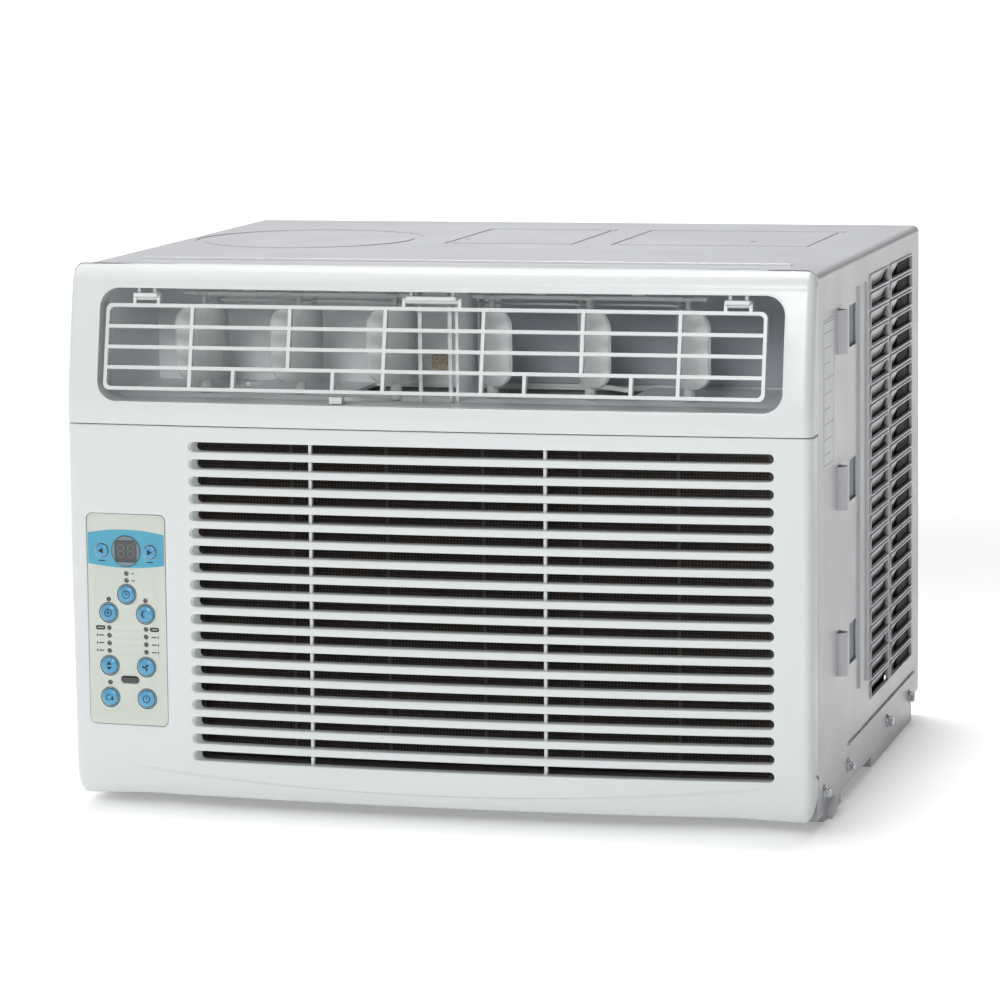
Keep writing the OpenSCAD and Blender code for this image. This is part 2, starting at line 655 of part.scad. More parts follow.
module cabinet() color(steel_white) {
    BRIDGE_Z = [283, 186.5, 83];
    bridge_y = front_y + 97;
    slot_y0 = front_y + 132;
    slot_y1 = front_y + 157;
    col_1 = front_y + 207;
    col_2 = front_y + 283;
    difference() {
        union() {
            difference() {
                along_y(cab_y0, back_y) round_rect(-cab_x, cab_z0, cab_x, cab_z1, 4);
                along_y(cab_y0 - 1, back_y + 1) {
                    round_rect(-cab_in, cab_z0 - 9, cab_in, cab_z1 - sheet, 3);
                    translate([-cab_in, cab_z0 - 1]) square([2 * cab_in, 20]);
                }
            }
            // Return flange round the back
            along_y(back_y - sheet, back_y) difference() {
                round_rect(-cab_x + 0.5, cab_z0, cab_x - 0.5, cab_z1 - 0.4, 3);
                round_rect(-cab_x + 14, cab_z0 - 9, cab_x - 14, cab_z1 - 14, 3);
            }
            // Pressed beads on the sides
            for (s = [-1, 1], y = [front_y + 164, front_y + 192])
                translate([s * cab_x, y, 62]) cylinder(h = 256, r = 1.6, $fn = 32);
            for (s = [-1, 1]) rod_y(s * cab_x, front_y + 128, back_y - 22, 33, 1.4);
            for (s = [-1, 1], z = BRIDGE_Z) bridge(s, bridge_y, z);
            // Bead on the top
            rod_x(-208, 209, front_y + 79, cab_z1, 1.6);
        }
        vent_column(col_1, col_1 + 66);
        vent_column(col_2, col_2 + 82);
        for (z = BRIDGE_Z) {
            span([-half_w - 5, slot_y0, z], [half_w + 5, slot_y1, z + 26]);
            for (s = [-1, 1]) translate([s > 0 ? cab_in - 2 : -cab_x - 1, 0, 0])
                span([0, bridge_y - 4.2, z], [3 + sheet - 0.05, bridge_y + 4.2, z + 27]);
        }
        for (y = SCREW_Y, s = [-1, 1])
            rod_x(s * pan_x - 4, s * pan_x + 4, y, screw_z, screw_r);
        for (p = SCREW_TOP)
            translate([p[0], p[1], cab_z1 - 5]) cylinder(h = 9, r = screw_r + 0.6, $fn = 48);
        // Shallow pressed panels in the top
        translate([0, 0, cab_z1 - 0.6]) {
            translate([-150, front_y + 245, 0]) difference() {
                cylinder(h = 3, r = 76, $fn = 96);
                translate([0, 0, -1]) cylinder(h = 5, r = 70, $fn = 96);
            }
            for (x = [[-50, 40], [62, 196]]) difference() {
                span([x[0], front_y + 218, 0], [x[1], front_y + 340, 3]);
                span([x[0] + 5, front_y + 223, -1], [x[1] - 5, front_y + 335, 4]);
            }
        }
        // Hole for the cord gland
        rod_x(-cab_x - 2, -cab_in + 2, front_y + 60, 60, 9);
    }
}

module cabinet_screws() color(zinc)
    for (y = SCREW_Y, s = [-1, 1]) {
        rod_x(s > 0 ? cab_in - 4 : -cab_x, s > 0 ? cab_x : -cab_in + 4, y, screw_z, screw_r);
        rod_x(s > 0 ? cab_x : -cab_x - 0.8, s > 0 ? cab_x + 0.8 : -cab_x, y, screw_z, 4.6);
        translate([s * (cab_x + 0.8), y, screw_z]) rotate([0, s * 90, 0]) {
            cylinder(h = 2.6, r = 3.6, $fn = 6);
            cylinder(h = 3.1, r = 2.6, $fn = 32);
        }
    }

module rear_guard() color(steel_white) {
    x1 = cab_x - 12;
    z0 = pan_rim + 4;
    z1 = cab_z1 - 10;
    rows = 24;
    pitch = (z1 - z0 - 16) / rows;
    along_y(guard_y, guard_y + 1.5) difference() {
        round_rect(-x1, z0, x1, z1, 4);
        for (i = [0:rows - 1], k = [0:3])
            translate([-x1 + 10 + k * (2 * x1 - 20) / 4, z0 + 9 + i * pitch])
                square([(2 * x1 - 20) / 4 - 5, pitch - 4.4]);
    }
}

// A finned coil block: a core with upright fins on both faces and end plates.
module fin_block(x0, x1, y0, y1, z0, z1, pitch) {
    n = floor((x1 - x0 - 4) / pitch);
    translate([0, 0, z0]) linear_extrude(z1 - z0) {
        translate([x0, (y0 + y1) / 2 - 3]) square([x1 - x0, 6]);
        for (i = [0:n]) translate([x0 + 2 + i * pitch, y0]) square([0.8, y1 - y0]);
    }
    for (x = [x0, x1 - 1.5]) span([x, y0 - 1, z0 - 1], [x + 1.5, y1 + 1, z1 + 1]);
}

// Return bends of the coil tubes beyond both end plates.
module coil_bends(x0, x1, y0, y1, z0, n, pitch) {
    r = 4;
    for (s = [-1, 1], i = [0:n - 1], y = [y0 + 6, y1 - 6])
        translate([s > 0 ? x1 : x0, y, z0 + (i + (s > 0 ? 0 : 0.5)) * pitch])
            rotate([90, 0, 0]) rotate([0, 0, s > 0 ? -90 : 90])
                rotate_extrude(angle = 180, $fn = 48) translate([pitch / 4, 0]) circle(r, $fn = 24);
}

module evaporator_fins() color(alloy) fin_block(-146, 214, evap_y0, evap_y1, 28, 238, 6);
module evaporator_bends() color(copper) coil_bends(-146, 214, evap_y0, evap_y1, 44, 8, 24);
module condenser_fins() color([0.30, 0.31, 0.33])
    fin_block(-206, 206, cond_y0, cond_y1, 30, 322, 6);
module condenser_bends() color(copper) coil_bends(-206, 206, cond_y0, cond_y1, 46, 11, 24);

module blower_housing() color([0.88, 0.88, 0.86]) {
    r = 93;
    along_y(housing_y0, housing_y0 + 2.5) difference() {
        round_rect(-150, 26, 215, duct_z0 - 6, 6);
        translate([0, shaft_z]) circle(62, $fn = 128);
    }
    // Scroll wall, open at the top into the duct
    along_y(housing_y0 + 2.5, duct_y1) difference() {
        union() {
            translate([0, shaft_z]) circle(r + 3, $fn = 128);
            translate([-r - 3, shaft_z]) square([2 * r + 6, duct_z0 - shaft_z - 6]);
        }
        translate([0, shaft_z]) circle(r, $fn = 128);
        translate([-r, shaft_z]) square([2 * r, 120]);
    }
}

module fan_shaft() color(alloy) rod_y(0, shaft_y0, shaft_y1, shaft_z, shaft_r);

module blower_wheel() color([0.75, 0.77, 0.78]) {
    y0 = front_y + 84;
    y1 = front_y + 124;
    r = 80;
    translate([0, 0, shaft_z]) {
        difference() {
            rod_y(0, y1 - 2.5, y1, 0, r);
            rod_y(0, y1 - 4, y1 + 1, 0, shaft_r);
        }
        difference() {
            rod_y(0, y1 - 22, y1 - 2, 0, 12);
            rod_y(0, y1 - 24, y1 + 1, 0, shaft_r);
        }
        difference() {
            rod_y(0, y0, y0 + 3, 0, r);
            rod_y(0, y0 - 1, y0 + 4, 0, r - 12);
        }
        for (i = [0:blower_n - 1]) rotate([0, i * 360 / blower_n, 0]) translate([r - 11, 0, 0])
            rotate([0, 35, 0]) span([0, y0 + 1, -0.8], [11, y1 - 1, 0.8]);
    }
}

module bulkhead() color(zinc)
    along_y(bulk_y, bulk_y + sheet) difference() {
        translate([-cab_in + 1.6, pan_floor])
            square([2 * cab_in - 3.2, cab_z1 - sheet - pan_floor - 0.6]);
        translate([0, shaft_z]) circle(14, $fn = 64);
        translate([-150, 90]) square([50, 56]);
        translate([188, 60]) square([30, 34]);
        for (x = [-cab_in, pan_x - 16.5]) translate([x, 0]) square([16.5, 9]);
    }

module fan_motor() color(dark) {
    difference() {
        rod_y(0, motor_y0, motor_y1, shaft_z, motor_r);
        rod_y(0, motor_y0 - 1, motor_y1 + 1, shaft_z, shaft_r + 0.05);
    }
    for (y = [motor_y0 - 8, motor_y1]) difference() {
        rod_y(0, y, y + 8, shaft_z, 16);
        rod_y(0, y - 1, y + 9, shaft_z, shaft_r + 0.05);
    }
}

// Feet, legs and the band round the motor.
module motor_bracket() color(zinc) {
    y0 = motor_y0 + 12;
    y1 = motor_y1 - 12;
    for (s = [-1, 1]) translate([s > 0 ? 0 : -78, 0, 0])
        span([30, y0, pan_floor], [48, y1, pan_floor + 2]);
    for (s = [-1, 1]) translate([s * 40, 0, 0]) difference() {
        span([-1.5, y0, pan_floor], [1.5, y1, shaft_z - 20]);
        rod_y(-s * 40, y0 - 1, y1 + 1, shaft_z, motor_r + 1);
    }
    along_y(y0, y1) difference() {
        translate([0, shaft_z]) circle(motor_r + 3, $fn = 64);
        translate([0, shaft_z]) circle(motor_r, $fn = 64);
    }
}

module condenser_fan() color(dark) {
    y0 = fan_y;
    depth = 22;
    translate([0, 0, shaft_z]) {
        difference() {
            union() {
                rod_y(0, y0, y0 + depth, 0, 24);
                for (i = [0:fan_n - 1]) rotate([0, i * 360 / fan_n, 0])
                    translate([20, y0 + depth / 2, 0]) rotate([28, 0, 0])
                        span([0, -1.2, -22], [fan_r - 24, 1.2, 22]);
                difference() {
                    rod_y(0, y0 + 2, y0 + 14, 0, fan_r);
                    rod_y(0, y0 + 1, y0 + 15, 0, fan_r - 5);
                }
            }
            rod_y(0, y0 - 1, y0 + depth + 1, 0, shaft_r);
        }
    }
}

module fan_shroud() color(zinc) {
    x1 = 222;
    wing_y = front_y + 222;
    difference() {
        union() {
            span([-x1, shroud_y, pan_rim + 2], [x1, shroud_y + sheet, cab_z1 - 6]);
            rod_y(0, shroud_y - 16, shroud_y + sheet, shaft_z, fan_r + 7 + sheet);
            for (s = [-1, 1]) translate([s > 0 ? x1 - sheet : -x1, 0, 0])
                span([0, wing_y, 40], [sheet, shroud_y + sheet, cab_z1 - 12]);
        }
        rod_y(0, shroud_y - 17, shroud_y + 2, shaft_z, fan_r + 7);
    }
}

module compressor() color(dark) {
    z0 = 30;
    h = comp_top - z0;
    translate([comp_x, comp_y, 0]) {
        translate([0, 0, z0]) cylinder(h = h, r = comp_r, $fn = 96);
        translate([0, 0, z0 + h]) dome(comp_r, 16);
        translate([0, 0, z0]) mirror([0, 0, 1]) dome(comp_r, 6);
        for (a = FEET) rotate([0, 0, a + 90]) difference() {
            span([comp_r - 8, -12, z0 - 6], [comp_r + 20, 12, z0 - 3]);
            translate([comp_r + 9, 0, z0 - 8]) cylinder(h = 9, r = 6, $fn = 48);
        }
    }
}
// A shallow dome of height h over a circle of radius r.
module dome(r, h) {
    big = (r * r + h * h) / (2 * h);
    intersection() {
        translate([0, 0, h - big]) sphere(big, $fn = 128);
        cylinder(h = h + 1, r = r, $fn = 96);
    }
}

module compressor_grommets() color(dark)
    for (a = FEET) at_foot(a) difference() {
        union() {
            cylinder_between(pan_floor, 24, 9);
            cylinder_between(24, 27, 6);
            cylinder_between(27, 30, 9);
        }
        cylinder_between(0, 40, stud_r);
    }

module terminal_cover() color([0.2, 0.2, 0.22]) {
    x = comp_x - comp_r;
    difference() {
        span([x - 14, comp_y - 18, 90], [x + 6, comp_y + 18, 136]);
        translate([comp_x, comp_y, 0]) cylinder(h = 140, r = comp_r, $fn = 96);
    }
}

// A pipe with an upright run, a quarter bend and a level run.
module pipe_loop(x, y, r, z0, z1, reach, turn) {
    bend = 16;
    translate([x, y, 0]) rotate([0, 0, turn]) {
        cylinder_between(z0, z1, r);
        translate([bend, 0, z1]) rotate([90, 0, 0]) rotate([0, 0, 90])
            rotate_extrude(angle = 90, $fn = 64) translate([bend, 0]) circle(r, $fn = 32);
        translate([bend, 0, z1 + bend]) rotate([0, 90, 0]) cylinder(h = reach, r = r, $fn = 32);
    }
}
module refrigerant_pipes() color(copper) {
    difference() {
        union() {
            pipe_loop(comp_x - 22, comp_y + 10, 4, 186, 224, 60, 160);
            pipe_loop(comp_x + 18, comp_y - 14, 5, 186, 240, 60, 220);
        }
        translate([comp_x, comp_y, comp_top]) dome(comp_r, 16);
    }
}

module drier() color(copper) {
    translate([-120, front_y + 250, 40]) {
        cylinder(h = 60, r = 9, $fn = 48);
        translate([0, 0, 60]) cylinder(h = 8, r1 = 9, r2 = 3, $fn = 48);
        translate([0, 0, -8]) cylinder(h = 8, r1 = 3, r2 = 9, $fn = 48);
        translate([0, 0, 68]) cylinder(h = 40, r = 2, $fn = 32);
        translate([0, 0, pan_floor - 40]) cylinder(h = 33, r = 3, $fn = 32);
    }
}

module cord_gland() color(dark) difference() {
    union() {
        rod_x(-cab_x - 3, -cab_x, front_y + 60, 60, 12);
        rod_x(-cab_x - 0.1, -cab_in + 6, front_y + 60, 60, 9);
    }
    rod_x(-cab_x - 4, -cab_in + 7, front_y + 60, 60, 4);
}

front_bezel();
intake_grille();
grille_hinge_pins();
filter_frame();
filter_mesh();
louvre_frame();
louvre_clips();
centre_stay();
duct_divider();
air_duct();
vane_rail_left();
vane_rail_right();
vane_left_1();
vane_left_2();
vane_left_3();
vane_right_1();
vane_right_2();
vane_right_3();
link_left();
link_right();
vent_lever();
vent_door();
control_plate();
display_lens();
receiver_window();
indicator_lamps();
control_board();
button_down();
button_up();
button_timer();
button_energy();
button_sleep();
button_mode();
button_fan();
button_check();
button_power();
control_box();
capacitor();
base_pan();
cabinet();
cabinet_screws();
rear_guard();
evaporator_fins();
evaporator_bends();
blower_housing();
blower_wheel();
bulkhead();
fan_motor();
motor_bracket();
fan_shaft();
condenser_fan();
fan_shroud();
condenser_fins();
condenser_bends();
compressor();
compressor_grommets();
terminal_cover();
refrigerant_pipes();
drier();
cord_gland();
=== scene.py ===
"""Window air conditioner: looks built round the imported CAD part, in its frame.

Lengths are millimetres while a piece is drawn and metres once it is in the scene.
"""
import math

import bmesh
import bpy
from mathutils import Matrix, Vector


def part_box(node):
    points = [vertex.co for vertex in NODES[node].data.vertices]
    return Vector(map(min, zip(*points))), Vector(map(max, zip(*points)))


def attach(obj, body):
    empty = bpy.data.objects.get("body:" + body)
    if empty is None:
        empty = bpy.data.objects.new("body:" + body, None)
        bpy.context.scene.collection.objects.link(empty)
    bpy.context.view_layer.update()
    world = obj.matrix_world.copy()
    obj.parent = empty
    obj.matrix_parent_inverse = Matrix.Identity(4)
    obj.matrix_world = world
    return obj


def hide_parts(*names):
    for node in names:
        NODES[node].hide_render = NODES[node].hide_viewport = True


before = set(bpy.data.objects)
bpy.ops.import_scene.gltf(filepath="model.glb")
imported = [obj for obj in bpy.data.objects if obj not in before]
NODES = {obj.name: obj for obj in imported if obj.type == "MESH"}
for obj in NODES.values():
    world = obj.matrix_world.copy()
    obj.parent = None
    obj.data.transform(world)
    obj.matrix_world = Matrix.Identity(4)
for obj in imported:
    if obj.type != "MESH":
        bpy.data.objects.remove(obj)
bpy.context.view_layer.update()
MM = 0.001

# Planes and centres shared by several pieces
FRONT = -195.0
BEZEL_BACK = -168.0
GRILLE_BACK = -170.0
SEAM = 242.0
HALF_W = 235.0
PLATE = (-197.0, 119.8)
PLATE_Y = -191.0
SLOTS = [229.2 - 10.7 * i for i in range(19)]
SLOT_ENDS = (-154.0, 212.0)
SLOT_HALF = 3.0
HINGE = (-177, 16.5)


# ---------------------------------------------------------------- camera

def add_camera():
    """The view that the object is first seen from."""
    data = bpy.data.cameras.new("camera")
    data.lens = 149.87
    data.sensor_width = 36
    data.shift_x = -0.0491
    data.shift_y = 0.0017
    data.clip_end = 200
    cam = bpy.data.objects.new("camera", data)
    bpy.context.collection.objects.link(cam)
    turn, rise, roll = (math.radians(v) for v in (14.37, 8.23, -0.64))
    back = Vector((math.sin(turn) * math.cos(rise), -math.cos(turn) * math.cos(rise),
                   math.sin(rise)))
    right = (-back).cross(Vector((0, 0, 1))).normalized()
    up = right.cross(-back)
    side = math.cos(roll) * right + math.sin(roll) * up
    top = math.cos(roll) * up - math.sin(roll) * right
    stand = Matrix((side, top, back)).transposed().to_4x4()
    stand.translation = (0.691, -2.598, 0.560)
    cam.matrix_world = stand
    bpy.context.scene.camera = cam


# ---------------------------------------------------------------- materials

def rgb(r, g, b):
    """A colour of three display values up to 255, as linear light."""
    def linear(c):
        c /= 255
        return c / 12.92 if c <= 0.04045 else ((c + 0.055) / 1.055) ** 2.4
    return linear(r), linear(g), linear(b), 1.0


TEXTURES = {"cells": ("ShaderNodeTexVoronoi", "Distance"),
            "waves": ("ShaderNodeTexWave", "Fac"),
            "noise": ("ShaderNodeTexNoise", "Fac")}


def surface(name, colour, vary, tone, rough, rough_scale, grain, **sockets):
    """A material whose colour and roughness drift by noise, with one bump per grain entry.
    A grain is (kind, scale per metre, strength, depth in mm)."""
    m = bpy.data.materials.new(name)
    m.use_nodes = True
    nodes, links = m.node_tree.nodes, m.node_tree.links
    nodes.clear()
    out = nodes.new("ShaderNodeOutputMaterial")
    bsdf = nodes.new("ShaderNodeBsdfPrincipled")
    links.new(bsdf.outputs["BSDF"], out.inputs["Surface"])
    place = nodes.new("ShaderNodeTexCoord")

    def texture(kind, scale, detail=3.0):
        node_type, output = TEXTURES[kind]
        t = nodes.new(node_type)
        t.inputs["Scale"].default_value = scale
        if kind == "noise":
            t.inputs["Detail"].default_value = detail
        if kind == "waves":
            t.inputs["Distortion"].default_value = 1.5
        links.new(place.outputs["Object"], t.inputs["Vector"])
        return t.outputs[output]

    def spread(value, low, high):
        r = nodes.new("ShaderNodeMapRange")
        r.inputs["From Min"].default_value = 0.3
        r.inputs["From Max"].default_value = 0.7
        r.inputs["To Min"].default_value = low
        r.inputs["To Max"].default_value = high
        links.new(value, r.inputs["Value"])
        return r.outputs["Result"]

    mix = nodes.new("ShaderNodeMix")
    mix.data_type = "RGBA"
    mix.inputs["A"].default_value = tuple(c * (1 - vary) for c in colour[:3]) + (1,)
    mix.inputs["B"].default_value = tuple(min(1, c * (1 + vary)) for c in colour[:3]) + (1,)
    cells = [g for g in grain if g[0] == "cells"]
    links.new(spread(texture("cells" if cells else "noise", cells[0][1] if cells else tone), 0, 1),
              mix.inputs["Factor"])
    links.new(mix.outputs["Result"], bsdf.inputs["Base Color"])
    links.new(spread(texture("noise", rough_scale), *rough), bsdf.inputs["Roughness"])
    normal = None
    for kind, scale, strength, depth in grain:
        bump = nodes.new("ShaderNodeBump")
        bump.inputs["Strength"].default_value = strength
        bump.inputs["Distance"].default_value = depth * MM
        links.new(texture(kind, scale, 2.0), bump.inputs["Height"])
        if normal:
            links.new(normal, bump.inputs["Normal"])
        normal = bump.outputs["Normal"]
    if normal:
        links.new(normal, bsdf.inputs["Normal"])
    for key, value in sockets.items():
        bsdf.inputs[key.replace("_", " ")].default_value = value
    return m


SHELL = surface("front_plastic", rgb(203, 207, 207), 0.012, 5, (0.30, 0.38), 30,
                [("noise", 900, 0.25, 0.05), ("noise", 60, 0.05, 0.10)],
                Coat_Weight=0.15, Coat_Roughness=0.25)
DUCT = surface("duct_plastic", rgb(236, 238, 239), 0.03, 8, (0.42, 0.52), 40,
               [("noise", 1200, 0.3, 0.05)])
PAINT = surface("sheet_paint", rgb(183, 184, 187), 0.012, 4, (0.32, 0.42), 25,
                [("noise", 420, 0.35, 0.06), ("noise", 30, 0.08, 0.25)], Coat_Weight=0.2,
                Coat_Roughness=0.2)
ZINC = surface("zinc_sheet", rgb(178, 182, 184), 0.10, 9, (0.30, 0.46), 70,
               [("cells", 140, 0.12, 0.04), ("noise", 800, 0.1, 0.02)], Metallic=1.0)
FINS = surface("coil_fins", rgb(196, 199, 202), 0.06, 30, (0.28, 0.42), 120,
               [("waves", 260, 0.25, 0.15)], Metallic=1.0)
DARK_FINS = surface("dark_fins", rgb(66, 68, 72), 0.10, 30, (0.34, 0.5), 120,
                    [("waves", 260, 0.3, 0.15)], Metallic=0.6)
TUBE = surface("tube_metal", rgb(196, 128, 92), 0.12, 26, (0.22, 0.42), 60,
               [("noise", 300, 0.12, 0.05)], Metallic=1.0)
WEAVE = surface("filter_weave", rgb(38, 31, 28), 0.2, 60, (0.6, 0.75), 200,
                [("noise", 1500, 0.4, 0.05)])
BLACK_METAL = surface("black_metal", rgb(34, 35, 37), 0.12, 14, (0.30, 0.46), 50,
                      [("noise", 350, 0.3, 0.06)], Coat_Weight=0.3, Coat_Roughness=0.25)
BLACK = surface("black_plastic", rgb(40, 41, 43), 0.10, 14, (0.45, 0.58), 50,
                [("noise", 900, 0.3, 0.05)])
RUBBER = surface("rubber_black", rgb(30, 30, 31), 0.12, 30, (0.7, 0.85), 80,
                 [("noise", 1100, 0.45, 0.06)])
PANEL = surface("panel_plastic", rgb(190, 196, 188), 0.02, 20, (0.34, 0.42), 60,
                [("noise", 1500, 0.2, 0.03)])
KEY_BLUE = surface("key_blue", rgb(72, 146, 184), 0.05, 60, (0.26, 0.34), 200,
                   [("noise", 1500, 0.12, 0.02)], Coat_Weight=0.4, Coat_Roughness=0.15)
# Grey of the crescents under the keys: painted shadow, not a colour of the panel
KEY_SHADOW_GREY = surface("key_grey", rgb(196, 203, 200), 0.04, 60, (0.32, 0.42), 200,
                   [("noise", 1500, 0.15, 0.02)])
BAND = surface("band_film", rgb(74, 152, 178), 0.05, 30, (0.3, 0.38), 100,
               [("noise", 1500, 0.12, 0.02)])
INK = surface("print_ink", rgb(24, 32, 40), 0.1, 60, (0.45, 0.55), 200,
              [("noise", 2500, 0.2, 0.01)])
LENS = surface("lens_dark", rgb(20, 24, 26), 0.15, 60, (0.06, 0.12), 150,
               [("noise", 900, 0.04, 0.02)], Coat_Weight=1.0, Coat_Roughness=0.03)
SEGMENT = surface("segment_grey", rgb(96, 104, 104), 0.06, 90, (0.3, 0.4), 150,
                  [("noise", 1500, 0.1, 0.02)])
LAMP = surface("lamp_lens", rgb(36, 42, 36), 0.15, 90, (0.12, 0.2), 150,
               [("noise", 1500, 0.1, 0.02)], Coat_Weight=1.0, Coat_Roughness=0.08)
BOARD = surface("board", rgb(30, 84, 52), 0.12, 40, (0.35, 0.5), 90,
                [("cells", 500, 0.4, 0.1)])
FOAM = surface("foam_white", rgb(228, 227, 222), 0.05, 30, (0.8, 0.92), 120,
               [("cells", 330, 0.6, 0.35)])
STEEL = surface("bare_metal", rgb(188, 190, 192), 0.06, 60, (0.2, 0.34), 200,
                [("noise", 900, 0.1, 0.02)], Metallic=1.0)
LABEL = surface("blank_label", rgb(214, 217, 218), 0.02, 20, (0.4, 0.5), 60,
                [("noise", 700, 0.1, 0.02)])
# The liner behind the side openings is white polystyrene; this darker bluish grey is painted shade
# of the recess it sits in
LINER_SHADE_GREY = surface("side_liner_shaded", rgb(150, 160, 163), 0.05, 30, (0.8, 0.92), 120,
                [("cells", 330, 0.4, 0.2)])
BAFFLE = surface("duct_baffle", rgb(178, 182, 190), 0.05, 14, (0.4, 0.5), 60,
                 [("noise", 420, 0.25, 0.05)])
NET = surface("net_thread", rgb(70, 60, 52), 0.12, 60, (0.5, 0.65), 200,
              [("noise", 2500, 0.2, 0.01)])
FILTER_EDGE = surface("filter_edge", rgb(74, 70, 66), 0.06, 30, (0.5, 0.6), 90,
                      [("noise", 900, 0.2, 0.03)])
SENSOR = surface("sensor_card", rgb(122, 113, 94), 0.22, 160, (0.4, 0.55), 200,
                 [("cells", 600, 0.4, 0.1)])
RIM = surface("display_rim", rgb(108, 126, 134), 0.04, 60, (0.3, 0.4), 150,
              [("noise", 1500, 0.12, 0.02)])
RULES = surface("label_rules", rgb(150, 152, 154), 0.05, 60, (0.45, 0.55), 150,
                [("noise", 1500, 0.12, 0.02)])

NODE_LOOKS = {
    SHELL: ["louvre_frame", "centre_stay", "vane_rail_left", "vane_rail_right", "link_left",
            "link_right", "vent_lever"]
           + [f"vane_{s}_{k}" for s in ("left", "right") for k in (1, 2, 3)],
    DUCT: ["air_duct", "duct_divider", "blower_wheel"],
    FILTER_EDGE: ["filter_frame"],
    WEAVE: ["filter_mesh"],
    PAINT: ["base_pan", "cabinet", "rear_guard"],
    ZINC: ["vent_door", "control_box", "bulkhead", "motor_bracket", "fan_shroud"],
    FINS: ["evaporator_fins", "capacitor"],
    DARK_FINS: ["condenser_fins"],
    TUBE: ["evaporator_bends", "condenser_bends", "refrigerant_pipes", "drier"],
    BLACK_METAL: ["fan_motor", "compressor"],
    BLACK: ["condenser_fan", "terminal_cover"],
    RUBBER: ["compressor_grommets", "cord_gland"],
    BOARD: ["control_board"],
    FOAM: ["blower_housing"],
    STEEL: ["fan_shaft", "cabinet_screws", "grille_hinge_pins"],
}
# Edge rounding of a CAD node, in mm
EDGES = {"louvre_frame": 0.8, "centre_stay": 0.4, "vane_rail_left": 0.5,
         "vane_rail_right": 0.5, "vent_lever": 0.4, "link_left": 0.3, "link_right": 0.3,
         "base_pan": 0.4, "cabinet_screws": 0.25, "duct_divider": 0.3,
         "control_box": 0.5, "capacitor": 0.8, "motor_bracket": 0.4, "condenser_fan": 0.5,
         "terminal_cover": 1.0, "cord_gland": 0.8, "compressor_grommets": 0.6,
         "blower_wheel": 0.3, "vent_door": 0.3}
EDGES.update({f"vane_{s}_{k}": 0.5 for s in ("left", "right") for k in (1, 2, 3)})


def dress_nodes():
    """Gives every CAD node its material, and softens the edges of those that EDGES lists."""
    for look, names in NODE_LOOKS.items():
        for name in names:
            node = NODES[name]
            node.data.materials.clear()
            node.data.materials.append(look)
            if name in EDGES:
                weld = node.modifiers.new("weld", "WELD")
                weld.merge_threshold = 0.000002
                bevel = node.modifiers.new("edges", "BEVEL")
                bevel.width = EDGES[name] * MM
                bevel.segments = 2
                bevel.limit_method = "ANGLE"
                bevel.angle_limit = math.radians(40)
                bevel.use_clamp_overlap = True
                bevel.harden_normals = True


# ---------------------------------------------------------------- drawing tools

def rounded(x0, z0, x1, z1, r, n=8):
    """A rectangle with round corners of n steps each."""
    pts = []
    for cx, cz, start in ((x1 - r, z1 - r, 0), (x0 + r, z1 - r, 90),
                          (x0 + r, z0 + r, 180), (x1 - r, z0 + r, 270)):
        for k in range(n + 1):
            a = math.radians(start + 90 * k / n)
            pts.append((cx + r * math.cos(a), cz + r * math.sin(a)))
    return pts


def ring(cx, cz, r, n=48):
    """A circle of n points."""
    return [(cx + r * math.cos(2 * math.pi * k / n), cz + r * math.sin(2 * math.pi * k / n))
            for k in range(n)]


def turned(pts, degrees):
    """A drawing turned about its origin."""
    c, s = math.cos(math.radians(degrees)), math.sin(math.radians(degrees))
    return [(c * x - s * z, s * x + c * z) for x, z in pts]


def slab(loops, depth, bevel=0.0, steps=2):
    """A flat plate with holes as a bmesh: X and Y are the drawing, Z is 0 at its face and
    grows to depth behind it."""
    curve = bpy.data.curves.new("slab", "CURVE")
    curve.dimensions = "2D"
    curve.fill_mode = "BOTH"
    curve.extrude = depth / 2 - bevel
    curve.bevel_depth = bevel
    curve.bevel_resolution = steps
    curve.offset = -bevel
    for pts in loops:
        line = curve.splines.new("POLY")
        line.points.add(len(pts) - 1)
        line.use_cyclic_u = True
        for p, (x, z) in zip(line.points, pts):
            p.co = (x, z, 0, 1)
    tmp = bpy.data.objects.new("slab", curve)
    bpy.context.collection.objects.link(tmp)
    mesh = bpy.data.meshes.new_from_object(tmp.evaluated_get(bpy.context.evaluated_depsgraph_get()))
    bm = bmesh.new()
    bm.from_mesh(mesh)
    bpy.data.objects.remove(tmp)
    bpy.data.curves.remove(curve)
    bpy.data.meshes.remove(mesh)
    bmesh.ops.remove_doubles(bm, verts=bm.verts, dist=0.002)
    for v in bm.verts:
        v.co.z = depth / 2 - v.co.z
    return bm


def slice_at(bm, axis, values, keep=None):
    """Cuts the faces across an axis at each value, or only the faces that keep chooses."""
    normal = [0, 0, 0]
    normal[axis] = 1
    for value in values:
        place = [0, 0, 0]
        place[axis] = value
        faces = [f for f in bm.faces if keep is None or keep(f.calc_center_median())]
        geom = set(faces)
        for f in faces:
            geom.update(f.edges)
            geom.update(f.verts)
        bmesh.ops.bisect_plane(bm, geom=list(geom), plane_co=place, plane_no=normal, dist=0.001)


def span(lo, hi, step):
    """Even steps from lo to hi, near the asked step and with both ends."""
    n = max(1, round((hi - lo) / step))
    return [lo + (hi - lo) * k / n for k in range(n + 1)]


def prism(loops, lo, hi, bevel=0.0, axis="y", steps=2):
    """A drawing made solid from lo to hi: XZ along y, YZ along x or XY along z."""
    bm = slab(loops, hi - lo, bevel, steps)
    for v in bm.verts:
        x, z, d = v.co
        v.co = {"y": (x, lo + d, z), "x": (hi - d, x, z), "z": (x, z, hi - d)}[axis]
    return bm


